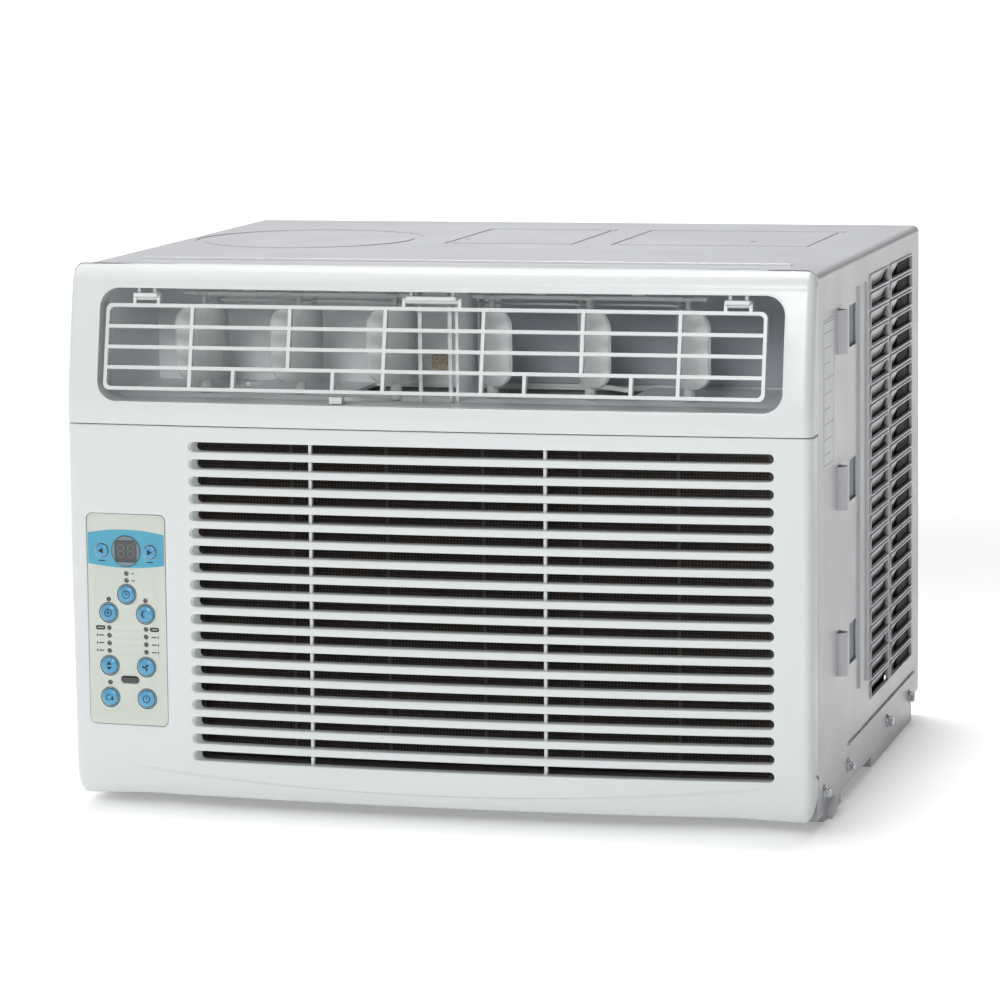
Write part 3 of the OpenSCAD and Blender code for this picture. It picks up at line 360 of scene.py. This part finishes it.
def lathe(profile, n=48):
    """Turns (radius, along) pairs round Y, with its first point outermost at the front."""
    bm = bmesh.new()
    rows = []
    for r, y in profile:
        if r < 1e-6:
            rows.append([bm.verts.new((0, y, 0))])
        else:
            rows.append([bm.verts.new((r * math.cos(2 * math.pi * k / n), y,
                                       r * math.sin(2 * math.pi * k / n))) for k in range(n)])
    for a, b in zip(rows, rows[1:]):
        for k in range(n):
            j = (k + 1) % n
            quad = [a[k % len(a)], a[j % len(a)], b[j % len(b)], b[k % len(b)]]
            uniq = list(dict.fromkeys(quad))
            if len(uniq) > 2:
                bm.faces.new(uniq)
    bmesh.ops.recalc_face_normals(bm, faces=bm.faces)
    return bm


def shifted(bm, x, y, z):
    """The mesh itself, moved."""
    bmesh.ops.translate(bm, verts=bm.verts, vec=(x, y, z))
    return bm


SHARP = math.radians(38)


def piece(name, parts, look, body, stands_for=()):
    """Joins the parts into one object that rides a body, for the CAD nodes it stands for."""
    whole = bmesh.new()
    for bm in parts:
        bmesh.ops.remove_doubles(bm, verts=bm.verts, dist=0.004)
        bmesh.ops.dissolve_degenerate(bm, edges=bm.edges, dist=0.002)
        tmp = bpy.data.meshes.new("tmp")
        bm.to_mesh(tmp)
        bm.free()
        whole.from_mesh(tmp)
        bpy.data.meshes.remove(tmp)
    bmesh.ops.scale(whole, vec=(MM, MM, MM), verts=whole.verts)
    for f in whole.faces:
        f.smooth = True
    for e in whole.edges:
        e.smooth = e.is_manifold and e.calc_face_angle(0) < SHARP
    mesh = bpy.data.meshes.new(name)
    whole.to_mesh(mesh)
    whole.free()
    mesh.materials.append(look)
    obj = bpy.data.objects.new(name, mesh)
    bpy.context.collection.objects.link(obj)
    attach(obj, body)
    if stands_for:
        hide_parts(*stands_for)


# ---------------------------------------------------------------- plastic front

# The drawing of the front is laid flat up to these lines and rolls back beyond them, by
# a radius in the drawing and another in depth
CORE_X, SIDE_ROLL, SIDE_DEPTH = 229.0, 6.0, 6.5
CHIN_Z, CHIN_ROLL, CHIN_DEPTH = 25.1, 17.5, 7.0
BROW_Z, BROW_ROLL, BROW_DEPTH = 328.0, 12.0, 12.0
FAR = 999.0
# How far the drawing goes on past the core, and how fast it runs back after the roll
SKIRT_X = 27
STRAIGHT_BACK = 14
# The crease across the chin: height at the middle, rise at the sides, softness and depth
CREASE_Z, CREASE_RISE, CREASE_SOFT, CREASE_DEPTH = 19, 11, 2.6, 2.2


def grille_front(x, z):
    """Depth of the grille's face: its chin stands forward and is bowed most."""
    t = min(max((SEAM - z) / 230, 0), 1)
    return FRONT - 8 * t + (6 + 8 * t) * (x / HALF_W) ** 2


def bezel_front(x, z):
    """Depth of the bezel's face: it leans back towards its top and has the same bow."""
    lean = 13.8 * (max(0, z - 250) / 79) ** 1.35
    return FRONT + lean + 6 * (x / HALF_W) ** 2


def wrap(bm, core, radii, depths, face, back):
    """Lays a slab over the bowed face and rolls what is beyond the core back round the edges.
    The roll has one radius in the drawing and another in depth, and runs straight back
    after a quarter turn."""
    for v in bm.verts:
        s, t, d = v.co
        cs = min(max(s, core[0]), core[1])
        ct = min(max(t, core[2]), core[3])
        x, y, z = cs, face(cs, ct) + d, ct
        u, w = (s - cs) / radii[0], (t - ct) / radii[1]
        m = math.hypot(u, w)
        if m > 0:
            c, sn = u / m, w / m
            reach = math.hypot(depths[0] * c, depths[1] * sn)
            k = min(m, math.pi / 2)
            x += (radii[0] - d) * math.sin(k) * c
            z += (radii[1] - d) * math.sin(k) * sn
            y += (reach - d) * (1 - math.cos(k)) + (m - k) * STRAIGHT_BACK
        v.co = (x, min(y, back(z)), z)
    return bm


def slot_loops(grow=0.0):
    """The intake slots, each with round ends."""
    left, right = SLOT_ENDS
    h = SLOT_HALF + grow
    return [rounded(left - grow, z - h, right + grow, z + h, h - 0.05, 7) for z in SLOTS]


def skirted(joint, edge, reach):
    """A clockwise outline from the joint to the core's edge and round a skirt beyond it,
    which is above for a positive reach and below for a negative one."""
    outline = [(-CORE_X - SKIRT_X, joint), (-CORE_X - SKIRT_X, edge)]
    for k in range(1, 16):
        a = math.radians(6 * k)
        outline.append((-CORE_X - SKIRT_X * math.cos(a), edge + reach * math.sin(a)))
    outline += [(-x, z) for x, z in reversed(outline)]
    return outline if reach > 0 else outline[::-1]


def slice_across(bm):
    """Cuts across the bow of the front, and finer ones where its sides roll back."""
    slice_at(bm, 0, span(-CORE_X, CORE_X, 12))
    for s in (-1, 1):
        slice_at(bm, 0, [s * (CORE_X + SIDE_ROLL * math.radians(9 * k)) for k in range(1, 11)])


def crease_chin(bm):
    """Presses a soft crease into the chin, higher at both sides and fading at the edges."""
    for v in bm.verts:
        s, t = v.co.x, v.co.y
        crease = CREASE_Z + CREASE_RISE * (s / 200) ** 2
        if abs(s) < CORE_X:
            k = min(1, max(0, (crease - t) / CREASE_SOFT))
            fade = min(1, (CORE_X - abs(s)) / 40)
            v.co.z += CREASE_DEPTH * k * k * (3 - 2 * k) * fade


def hinge_eye(start, steps, foot, bore):
    """An eye round the hinge line in YZ, closed by the points of its foot, and its bore."""
    y, z = HINGE
    eye = [(y + 4.5 * math.cos(a), z + 4.5 * math.sin(a))
           for a in (math.radians(start + 15 * k) for k in range(steps))]
    return [eye + foot, ring(y, z, bore, 24)]


def build_grille():
    """The hinged front with its slots, chin, blades, ribs and hinge lugs."""
    core = (-CORE_X, CORE_X, CHIN_Z, FAR)
    radii, depths = (SIDE_ROLL, CHIN_ROLL), (SIDE_DEPTH, CHIN_DEPTH)
    plate_hole = rounded(PLATE[0] - 26.4, PLATE[1] - 66.4, PLATE[0] + 26.4, PLATE[1] + 66.4, 4, 6)
    outline = skirted(SEAM - 0.25, CHIN_Z, -44)
    front = slab([outline, plate_hole] + slot_loops(), 2.6, 0.9, 3)
    slice_across(front)
    slice_at(front, 1, span(CHIN_Z, 240, 12))
    slice_at(front, 1, [CHIN_Z - CHIN_ROLL * math.radians(4.5 * k) for k in range(1, 21)])
    # Finer cuts where the crease runs
    slice_at(front, 0, span(-223, 223, 12), lambda c: c.y < 36)
    slice_at(front, 1, span(13, 34, 0.9), lambda c: c.y < 34)
    crease_chin(front)

    def back(z):
        return -174.0 if z < 18.5 else GRILLE_BACK
    wrap(front, core, radii, depths, grille_front, back)

    # Blades behind the slots, their left ends scooped
    blades = slab([rounded(-158, 26.5, 216, 238, 4, 4)] + slot_loops(-0.04), 6.0)
    slice_at(blades, 0, span(-150, 210, 12))
    for v in blades.verts:
        v.co.z += 1.4
        if v.co.x < -149:
            v.co.x += 0.45 * v.co.z
    ribs = []
    for x in (-76.3, 72.0):
        rib = slab([[(x - 1.0, 30), (x + 1.0, 30), (x + 1.0, 236), (x - 1.0, 236)]], 3.2, 0.3)
        slice_at(rib, 1, span(42, 230, 12))
        for v in rib.verts:
            v.co.z += 3.6
        ribs.append(wrap(rib, core, radii, depths, grille_front, back))
    wrap(blades, core, radii, depths, grille_front, back)

    lug = hinge_eye(-90, 13, [(-188, 20.0), (-188, 12.0)], 2.06)
    lugs = [prism(lug, x - 3.6, x + 3.6, 0.3, "x") for x in (-175, 175)]
    piece("grille_shell", [front, blades] + ribs + lugs, SHELL, "grille",
          ["intake_grille"])


def build_filter():
    """The woven net of the air filter, in front of its backing."""
    lo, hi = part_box("filter_mesh")
    x0, y0, z0 = (v / MM for v in lo)
    x1, _, z1 = (v / MM for v in hi)
    pitch, half = 2.1, 0.17
    threads = bmesh.new()

    def thread(a, b):
        """A square thread between two opposite corners."""
        corners = [threads.verts.new(p) for p in
                   [(a[0], a[1], a[2]), (b[0], a[1], a[2]), (b[0], a[1], b[2]),
                    (a[0], a[1], b[2]), (a[0], b[1], a[2]), (b[0], b[1], a[2]),
                    (b[0], b[1], b[2]), (a[0], b[1], b[2])]]
        for loop in ((0, 1, 2, 3), (7, 6, 5, 4), (0, 4, 5, 1), (1, 5, 6, 2), (2, 6, 7, 3),
                     (3, 7, 4, 0)):
            threads.faces.new([corners[k] for k in loop])
    for x in span(x0 + 1, x1 - 1, pitch):
        thread((x - half, y0 - 0.75, z0 + 0.5), (x + half, y0 - 0.35, z1 - 0.5))
    for z in span(z0 + 1, z1 - 1, pitch):
        thread((x0 + 0.5, y0 - 0.5, z - half), (x1 - 0.5, y0 - 0.1, z + half))
    bmesh.ops.recalc_face_normals(threads, faces=threads.faces)
    piece("filter_net", [threads], NET, "grille")


def build_bezel():
    """The fixed frame of the front: face round the outlet, its throat and the hinge ears."""
    core = (-CORE_X, CORE_X, -FAR, BROW_Z)
    radii, depths = (SIDE_ROLL, BROW_ROLL), (SIDE_DEPTH, BROW_DEPTH)
    outlet = rounded(-214, 256.5, 217, 325.5, 12, 12)
    front = slab([skirted(SEAM + 0.2, BROW_Z, 24), outlet], 2.5, 0.7, 3)
    slice_across(front)
    slice_at(front, 1, span(250, BROW_Z, 6))
    slice_at(front, 1, [BROW_Z + BROW_ROLL * math.radians(7.5 * k) for k in range(1, 13)])
    wrap(front, core, radii, depths, bezel_front, lambda z: BEZEL_BACK)

    # Throat of the outlet: it starts behind the lip and runs to the frame
    throat = slab([rounded(-216.5, 254, 219.5, 328, 14, 12), outlet], 2.0)
    slice_at(throat, 0, span(-205, 208, 12))
    for v in throat.verts:
        x, z, d = v.co
        v.co = (x, bezel_front(x, z) + 0.9 if d < 1 else BEZEL_BACK + 3, z)

    # Frame behind the grille, with hinge ears
    rim = prism([rounded(-231, 10, 231, 243, 9), rounded(-160, 25, 224, 238, 6),
                 rounded(-220, 58, -174, 182, 4)], BEZEL_BACK - 0.6, BEZEL_BACK + 3, 0.4)
    ear = hinge_eye(90, 15, [(-167.5, 15.5), (-167.5, 21.0)], 2.0)
    ears = [prism(ear, x - 3, x + 3, 0.3, "x") for x in (-182, -168, 168, 182)]
    piece("bezel_shell", [front, throat, rim] + ears, SHELL, "chassis",
          ["front_bezel"])


# ---------------------------------------------------------------- air outlet

def build_outlet():
    """Tabs over the louvre frame, a steel baffle in the duct and a sensor board."""
    # Thin tabs that hold the frame's journals, each hung from the ceiling by two posts
    parts = []
    for x, half in ((-185, 8.0), (-2, 16.0), (188, 8.0)):
        tab = rounded(x - half, -178.2, x + half, -170.2, 1.6, 5)
        parts.append(prism([tab], 320.0, 322.4, 0.4, "z"))
        for post in (x - half + 3, x + half - 3):
            foot = rounded(post - 1.1, -174.5, post + 1.1, -171.5, 0.5, 3)
            parts.append(prism([foot], 321.6, 326.4, 0.2, "z"))
    piece("louvre_tabs", parts, SHELL, "chassis", ["louvre_clips"])

    # Steel baffle behind the right half of the duct
    baffle = prism([rounded(13, 258, 218, 329, 3, 5)], -68.4, -67.2, 0.3, "y")
    slice_at(baffle, 0, span(25, 206, 12))
    piece("duct_baffle", [baffle], BAFFLE, "chassis")

    # Sensor board seen behind the stay
    card = prism([rounded(-6.5, 275.5, 5.5, 285.5, 1.0, 4)], -160.4, -158.8, 0.2, "y")
    piece("sensor_card", [card], SENSOR, "chassis")


# ---------------------------------------------------------------- control panel

def panel_y(x, z):
    """The panel leans with the bow and the chin of the front."""
    return PLATE_Y - 0.6 - 0.073 * (x - PLATE[0]) + 0.012 * (z - PLATE[1])


def on_panel(loops, lift, depth, bevel=0.0, steps=2):
    """A drawing in panel coordinates laid on the leaning plate, lift above its face."""
    bm = slab(loops, depth, bevel, steps)
    for v in bm.verts:
        u, w, d = v.co
        x, z = PLATE[0] + u, PLATE[1] + w
        v.co = (x, panel_y(x, z) - lift + d, z)
    return bm


def pill(u, w, half_u, half_w):
    """A bar with round ends."""
    return rounded(u - half_u, w - half_w, u + half_u, w + half_w, half_w - 0.01, 8)


def sheet(half_u, half_w, r, n):
    """A rectangle round the middle of the panel."""
    return rounded(-half_u, -half_w, half_u, half_w, r, n)


# Places on the panel, from its middle
KEYS = {"timer": (0, 16), "energy": (-12.4, 4), "sleep": (12.4, 4), "mode": (-12.4, -29.3),
        "fan": (12.4, -29.3), "check": (-12.4, -49.3), "power": (12.4, -49.3)}
ARROWS = {"down": (-16.2, 43), "up": (16.2, 43)}
LAMPS = [(0, 29), (0, 24.6), (-12.4, 12.4), (12.4, 12.4), (-12.4, -40)]
LAMPS += [(s * 12.4, -5.6 - 4.8 * k) for s in (-1, 1) for k in range(4)]
DISPLAY = (0, 43)
RECEIVER = (1, -37.8)
KEY_R = 5.3
ARROW_R = 4.2
# A key's cap is a shallow dome that stands out of the panel, on a stem that ends inside
DOME_R = 13.0
CAP_Y = -1.9
STEM_END = 6.8
# How far printed ink stands above the plate, and how thick it is
INK_LIFT, INK_THICK = 0.10, 0.3


def arc(r, a0, a1, n, cx=0.0, cz=0.0):
    """Points of an arc between two angles in degrees, in n steps."""
    return [(cx + r * math.cos(math.radians(a0 + (a1 - a0) * k / n)),
             cz + r * math.sin(math.radians(a0 + (a1 - a0) * k / n))) for k in range(n + 1)]


def stroke(a, b, width):
    """A straight bar from a to b."""
    dx, dz = b[0] - a[0], b[1] - a[1]
    n = math.hypot(dx, dz)
    px, pz = -dz / n * width / 2, dx / n * width / 2
    return [(a[0] + px, a[1] + pz), (a[0] - px, a[1] - pz), (b[0] - px, b[1] - pz),
            (b[0] + px, b[1] + pz)]


def bow_stroke(r, a0, a1, width, cx=0.0, cz=0.0):
    """A bent bar along an arc."""
    return arc(r + width / 2, a0, a1, 14, cx, cz) + arc(r - width / 2, a1, a0, 14, cx, cz)


def key_marks():
    """Generic signs on the keys, each a list of drawings whose own holes come with them."""
    return {
        "timer": [[ring(0, 0, 2.5, 32), ring(0, 0, 2.0, 32)],
                  [stroke((0, 0), (0, 1.5), 0.5)], [stroke((-0.2, 0), (1.1, 0), 0.5)]],
        "energy": [[ring(0, 0, 2.5, 32), ring(0, 0, 2.0, 32)],
                   [stroke((-1.9, 0), (1.9, 0), 0.5)], [stroke((0, -1.9), (0, 1.9), 0.5)]],
        "sleep": [[arc(2.4, 60, 300, 24) + arc(2.3, 262, 98, 18, 1.1, 0)]],
        "mode": [[[(-1.9, 0.6), (1.9, 0.6), (0, 2.8)]], [[(1.9, -0.6), (-1.9, -0.6), (0, -2.8)]]],
        "fan": [[turned(arc(1.25, 0, 180, 10, 1.25, 0) + [(0.1, -0.2)], 120 * k + 30)]
                for k in range(3)],
        "check": [[bow_stroke(1.7, 50, 310, 0.55, -0.9, 0)],
                  [[(0.5, -1.6), (2.7, -1.6), (1.6, 1.4)]]],
        "power": [[bow_stroke(2.1, -240, 60, 0.6)], [stroke((0, 0.2), (0, 2.7), 0.6)]],
        "down": [[[(-2.1, 0), (1.3, -1.9), (1.3, 1.9)]]],
        "up": [[[(2.1, 0), (-1.3, 1.9), (-1.3, -1.9)]]],
    }


def build_keys():
    """Every key of the panel as its own moving piece, with its sign laid on the cap."""
    marks = key_marks()
    for name, (u, w) in {**KEYS, **ARROWS}.items():
        r = KEY_R if name in KEYS else ARROW_R
        x, z = PLATE[0] + u, PLATE[1] + w
        y = panel_y(x, z)
        rim = r - 0.5
        edge = CAP_Y + rim * rim / (2 * DOME_R)
        profile = [(rim * k / 6, CAP_Y + (rim * k / 6) ** 2 / (2 * DOME_R)) for k in range(7)]
        profile += [(r - 0.15, edge + 0.35), (r, edge + 0.9), (r, 4.2), (r + 0.9, 4.3),
                    (r + 0.9, 5.1), (1.6, 5.2), (1.6, STEM_END), (0, STEM_END)]
        piece(f"key_{name}", [shifted(lathe(profile, 40), x, y, z)], KEY_BLUE, f"button_{name}",
              [f"button_{name}"])
        signs = []
        for loops in marks[name]:
            sign = slab(loops, 0.16)
            slice_at(sign, 0, span(-2.4, 2.4, 0.6))
            slice_at(sign, 1, span(-2.4, 2.4, 0.6))
            for v in sign.verts:
                a, b, d = v.co
                dome = CAP_Y + (a * a + b * b) / (2 * DOME_R)
                v.co = (x + a, y + dome - 0.08 + d, z + b)
            signs.append(sign)
        piece(f"mark_{name}", signs, INK, f"button_{name}")


def build_plate():
    """The panel's plate with openings for what it shows, its inner wall and its blue band."""
    holes = [ring(u, w, KEY_R + 0.35, 40) for u, w in KEYS.values()]
    holes += [ring(u, w, ARROW_R + 0.35, 36) for u, w in ARROWS.values()]
    eye = ring(*DISPLAY, 9.9, 56)
    holes += [eye, pill(*RECEIVER, 6.2, 2.4)]
    holes += [ring(u, w, 1.5, 20) for u, w in LAMPS]
    plate = on_panel([sheet(26.15, 66.15, 3.8, 8)] + holes, 0, 2.4, 0.25)
    wall = on_panel([sheet(24.8, 64.8, 3, 6), sheet(23.2, 63.2, 2, 6)], -1.2, 19.0)
    piece("panel_plate", [plate, wall], PANEL, "grille", ["control_plate"])

    # The band lies behind the display and the arrow keys, bowed above and below
    half = 25.6

    def bow(mid, end):
        us = [half - 2 * half * k / 20 for k in range(21)]
        return [(u, mid + (end - mid) * (u / half) ** 2) for u in us]
    band = [bow(56.5, 53.9) + bow(32.6, 34.7)[::-1], eye]
    band += [ring(u, w, ARROW_R + 0.7, 36) for u, w in ARROWS.values()]
    piece("panel_band", [on_panel(band, 0.12, 0.3)], BAND, "grille")


def build_print():
    """Fine lines round the keys, pills beside the lamps, short generic marks, and grey crescents
    under the keys that are painted shadow.
    """
    ink = []

    def printed(loops, lift=INK_LIFT):
        ink.append(on_panel(loops, lift, INK_THICK))

    for u, w in KEYS.values():
        printed([ring(u, w, KEY_R + 1.25, 44), ring(u, w, KEY_R + 0.75, 44)])
    for s in (-1, 1):
        printed([pill(s * 18.2, -5.6, 3.2, 1.35), pill(s * 18.2, -5.6, 2.1, 0.28)])
        for k in range(1, 4):
            w = -5.6 - 4.8 * k
            printed([stroke((s * 16.2, w), (s * 19.4, w), 0.7)])
            printed([stroke((s * 20.6, w - 0.9), (s * 20.6, w + 0.9), 0.6)])
        # The dash under an arrow key lies on the band
        printed([stroke((s * 16.2 - 2.2, 36.6), (s * 16.2 + 2.2, 36.6), 0.7)], 0.14)
    printed([stroke((3.4, 24.6), (5.6, 24.6), 0.6)])
    printed([stroke((3.4, 29.0), (5.0, 29.0), 0.6)])
    piece("panel_print", ink, INK, "grille")
    # A grey crescent below each key: painted shadow that the key casts down onto the plate
    key_shadows = []
    for u, w in KEYS.values():
        bow = arc(KEY_R + 2.4, 200, 340, 18, u, w) + arc(KEY_R + 1.35, 340, 200, 18, u, w)
        key_shadows.append(on_panel([bow], 0.35, 0.6, 0.12))
    piece("key_painted_shadows", key_shadows, KEY_SHADOW_GREY, "grille")


def build_display():
    """A round rim, a dark screen with two unlit figures, the receiver and the lamps."""
    face = on_panel([ring(*DISPLAY, 9.5, 56), rounded(-7.4, 36.2, 7.4, 49.8, 1.2, 5)], 0.55, 1.2,
                    0.2)
    piece("display_rim", [face], RIM, "grille")
    screen = on_panel([rounded(-7.6, 36.0, 7.6, 50.0, 1.2, 5)], 0.3, 2.6, 0.2)
    piece("display_screen", [screen], LENS, "grille", ["display_lens"])
    bars = []
    for mid in (-3.3, 3.3):
        for w in (39.2, 43.0, 46.8):
            bars.append(on_panel([stroke((mid - 1.3, w), (mid + 1.3, w), 0.7)], 0.34, 0.2))
        for u in (mid - 1.9, mid + 1.9):
            for w in (39.7, 43.5):
                bars.append(on_panel([stroke((u, w), (u, w + 2.8), 0.7)], 0.34, 0.2))
    piece("display_figures", bars, SEGMENT, "grille")
    pane = on_panel([pill(*RECEIVER, 6.0, 2.2)], 0.25, 2.4, 0.3)
    piece("receiver_pane", [pane], LENS, "grille", ["receiver_window"])
    lens = [(0, -0.35), (0.7, -0.25), (1.25, 0.05), (1.4, 0.5), (1.4, 9), (0, 9)]
    dots = []
    for u, w in LAMPS:
        x, z = PLATE[0] + u, PLATE[1] + w
        dots.append(shifted(lathe(lens, 20), x, panel_y(x, z), z))
    piece("lamp_lenses", dots, LAMP, "grille", ["indicator_lamps"])


# ---------------------------------------------------------------- cabinet

VENT_ROWS = [312 - 12 * i for i in range(23)]
VENT_COLUMNS = ((12.0, 78.0), (88.0, 170.0))
SIDE = 234.8


def behind(side, near, far):
    """An ordered stretch of X between two distances from the middle, on one side."""
    return sorted((side * near, side * far))


def build_sides():
    """Pressed lips round the vents, and what shows behind the openings of the sides."""
    loops = []
    for y0, y1 in VENT_COLUMNS:
        for z in VENT_ROWS:
            loops.append(rounded(y0 - 1.5, z - 1.4, y1 + 1.5, z + 9.8, 2.4, 5))
            loops.append(rounded(y0 - 0.02, z - 0.02, y1 + 0.02, z + 8.42, 0.9, 3))
    for side, name in ((1, "right"), (-1, "left")):
        lips = prism(loops, SIDE - 0.3, SIDE + 1.0, 0.45, "x", 2)
        if side < 0:
            for v in lips.verts:
                v.co.x = -v.co.x
            bmesh.ops.reverse_faces(lips, faces=lips.faces)
        piece(f"vent_lips_{name}", [lips], PAINT, "chassis")
        seal = prism([rounded(126, 36, 174, 322, 3, 5)], *behind(side, 230.8, 233.2), 0.6, "x")
        slice_at(seal, 2, span(48, 312, 8))
        piece(f"coil_seal_{name}", [seal], RUBBER, "chassis")
        # The liner is a real part, but its bluish grey is painted shade of the recess behind the
        # openings
        liner = prism([rounded(-58.4, 74, -22, 318, 3, 5)], *behind(side, 231.2, 233.1), 0.5, "x")
        piece(f"side_liner_shaded_{name}", [liner], LINER_SHADE_GREY, "chassis")
        # Slanted blades inside the vents, clear of the coil's end at the back
        blade = [[(side * 233.3, z + 8.2), (side * 229.0, z + 0.2), (side * 229.9, z - 0.8),
                  (side * 233.3, z + 6.6)][::-side] for z in VENT_ROWS]
        runs = [prism(blade, 12.6, 77.4, 0, "y"), prism(blade, 88.6, 124.0, 0, "y")]
        piece(f"vent_blades_{name}", runs, PAINT, "chassis")


def build_label():
    """A blank label on the right side, with a thin border and rules in place of text."""
    plate = prism([rounded(-151, 218, -115, 308, 1.5, 5)], SIDE - 0.05, SIDE + 0.22, 0.08, "x")
    piece("rating_label", [plate], LABEL, "chassis")
    rules = [[stroke((-148, z), (-118 - 5 * (k % 3), z), 0.5)]
             for k, z in enumerate(300 - 9.2 * k for k in range(9))]
    border = [rounded(-149.6, 219.4, -116.4, 306.6, 1, 4),
              rounded(-149.0, 220.0, -117.0, 306.0, 1, 4)]
    lines = [prism(loops, SIDE + 0.15, SIDE + 0.27, 0, "x") for loops in rules + [border]]
    piece("label_rules", lines, RULES, "chassis")


# ---------------------------------------------------------------- stage

def eased(tree, value, come, go):
    """A value eased from one range of numbers to another."""
    ease = tree.nodes.new("ShaderNodeMapRange")
    ease.interpolation_type = "SMOOTHSTEP"
    for key, number in zip(("From Min", "From Max", "To Min", "To Max"), (*come, *go)):
        ease.inputs[key].default_value = number
    tree.links.new(value, ease.inputs["Value"])
    return ease.outputs["Result"]


def build_floor():
    """A wide white floor that glows a little more the further it is from the object."""
    floor = bmesh.new()
    bmesh.ops.create_grid(floor, x_segments=8, y_segments=8, size=45)
    mesh = bpy.data.meshes.new("floor")
    floor.to_mesh(mesh)
    floor.free()
    look = surface("floor_paper", rgb(250, 250, 250), 0.004, 0.6, (0.75, 0.8), 2.0,
                   [("noise", 300, 0.02, 0.05)], Emission_Color=(1, 1, 1, 1))
    nodes, links = look.node_tree.nodes, look.node_tree.links
    place = nodes.new("ShaderNodeTexCoord")
    away = nodes.new("ShaderNodeVectorMath")
    away.operation = "LENGTH"
    links.new(place.outputs["Object"], away.inputs[0])
    glow = eased(look.node_tree, away.outputs["Value"], (0.4, 2.0), (0.22, 0.75))
    shader = next(n for n in nodes if n.type == "BSDF_PRINCIPLED")
    links.new(glow, shader.inputs["Emission Strength"])
    mesh.materials.append(look)
    obj = bpy.data.objects.new("floor", mesh)
    obj.location.z = -0.0004
    bpy.context.collection.objects.link(obj)


def build_world():
    """Pale surroundings that brighten upwards and fade away to the right."""
    world = bpy.data.worlds.new("studio")
    bpy.context.scene.world = world
    world.use_nodes = True
    nodes, links = world.node_tree.nodes, world.node_tree.links
    nodes.clear()
    out = nodes.new("ShaderNodeOutputWorld")
    sky = nodes.new("ShaderNodeBackground")
    links.new(sky.outputs["Background"], out.inputs["Surface"])
    place = nodes.new("ShaderNodeTexCoord")
    split = nodes.new("ShaderNodeSeparateXYZ")
    links.new(place.outputs["Generated"], split.inputs["Vector"])
    upward = eased(world.node_tree, split.outputs["Z"], (0.0, 0.9), (0.40, 1.60))
    leftward = eased(world.node_tree, split.outputs["X"], (-0.5, 0.5), (1.0, 0.0))
    times = nodes.new("ShaderNodeMath")
    times.operation = "MULTIPLY"
    links.new(upward, times.inputs[0])
    links.new(leftward, times.inputs[1])
    links.new(times.outputs["Value"], sky.inputs["Strength"])


def build_lamps():
    """Three area lamps: at the left, above, and the strongest in front."""
    def lamp(name, place, aim, size, power, spread=180):
        data = bpy.data.lights.new(name, "AREA")
        data.spread = math.radians(spread)
        data.shape = "RECTANGLE"
        data.size, data.size_y = size
        data.energy = power
        obj = bpy.data.objects.new(name, data)
        obj.location = place
        obj.rotation_euler = (Vector(aim) - Vector(place)).to_track_quat("-Z", "Y").to_euler()
        bpy.context.collection.objects.link(obj)
    lamp("key", (-1.7, -2.6, 1.9), (0, -0.1, 0.2), (1.6, 1.2), 4)
    lamp("top", (-0.1, 0.35, 2.3), (0, 0.05, 0.3), (0.9, 0.9), 3.0, 40)
    lamp("fill", (0.15, -2.9, 1.30), (0, -0.1, 0.25), (0.9, 0.7), 32)
    bpy.context.scene.view_settings.view_transform = "Standard"


add_camera()
dress_nodes()
build_grille()
build_filter()
build_bezel()
build_outlet()
build_keys()
build_plate()
build_print()
build_display()
build_sides()
build_label()
build_floor()
build_world()
build_lamps()
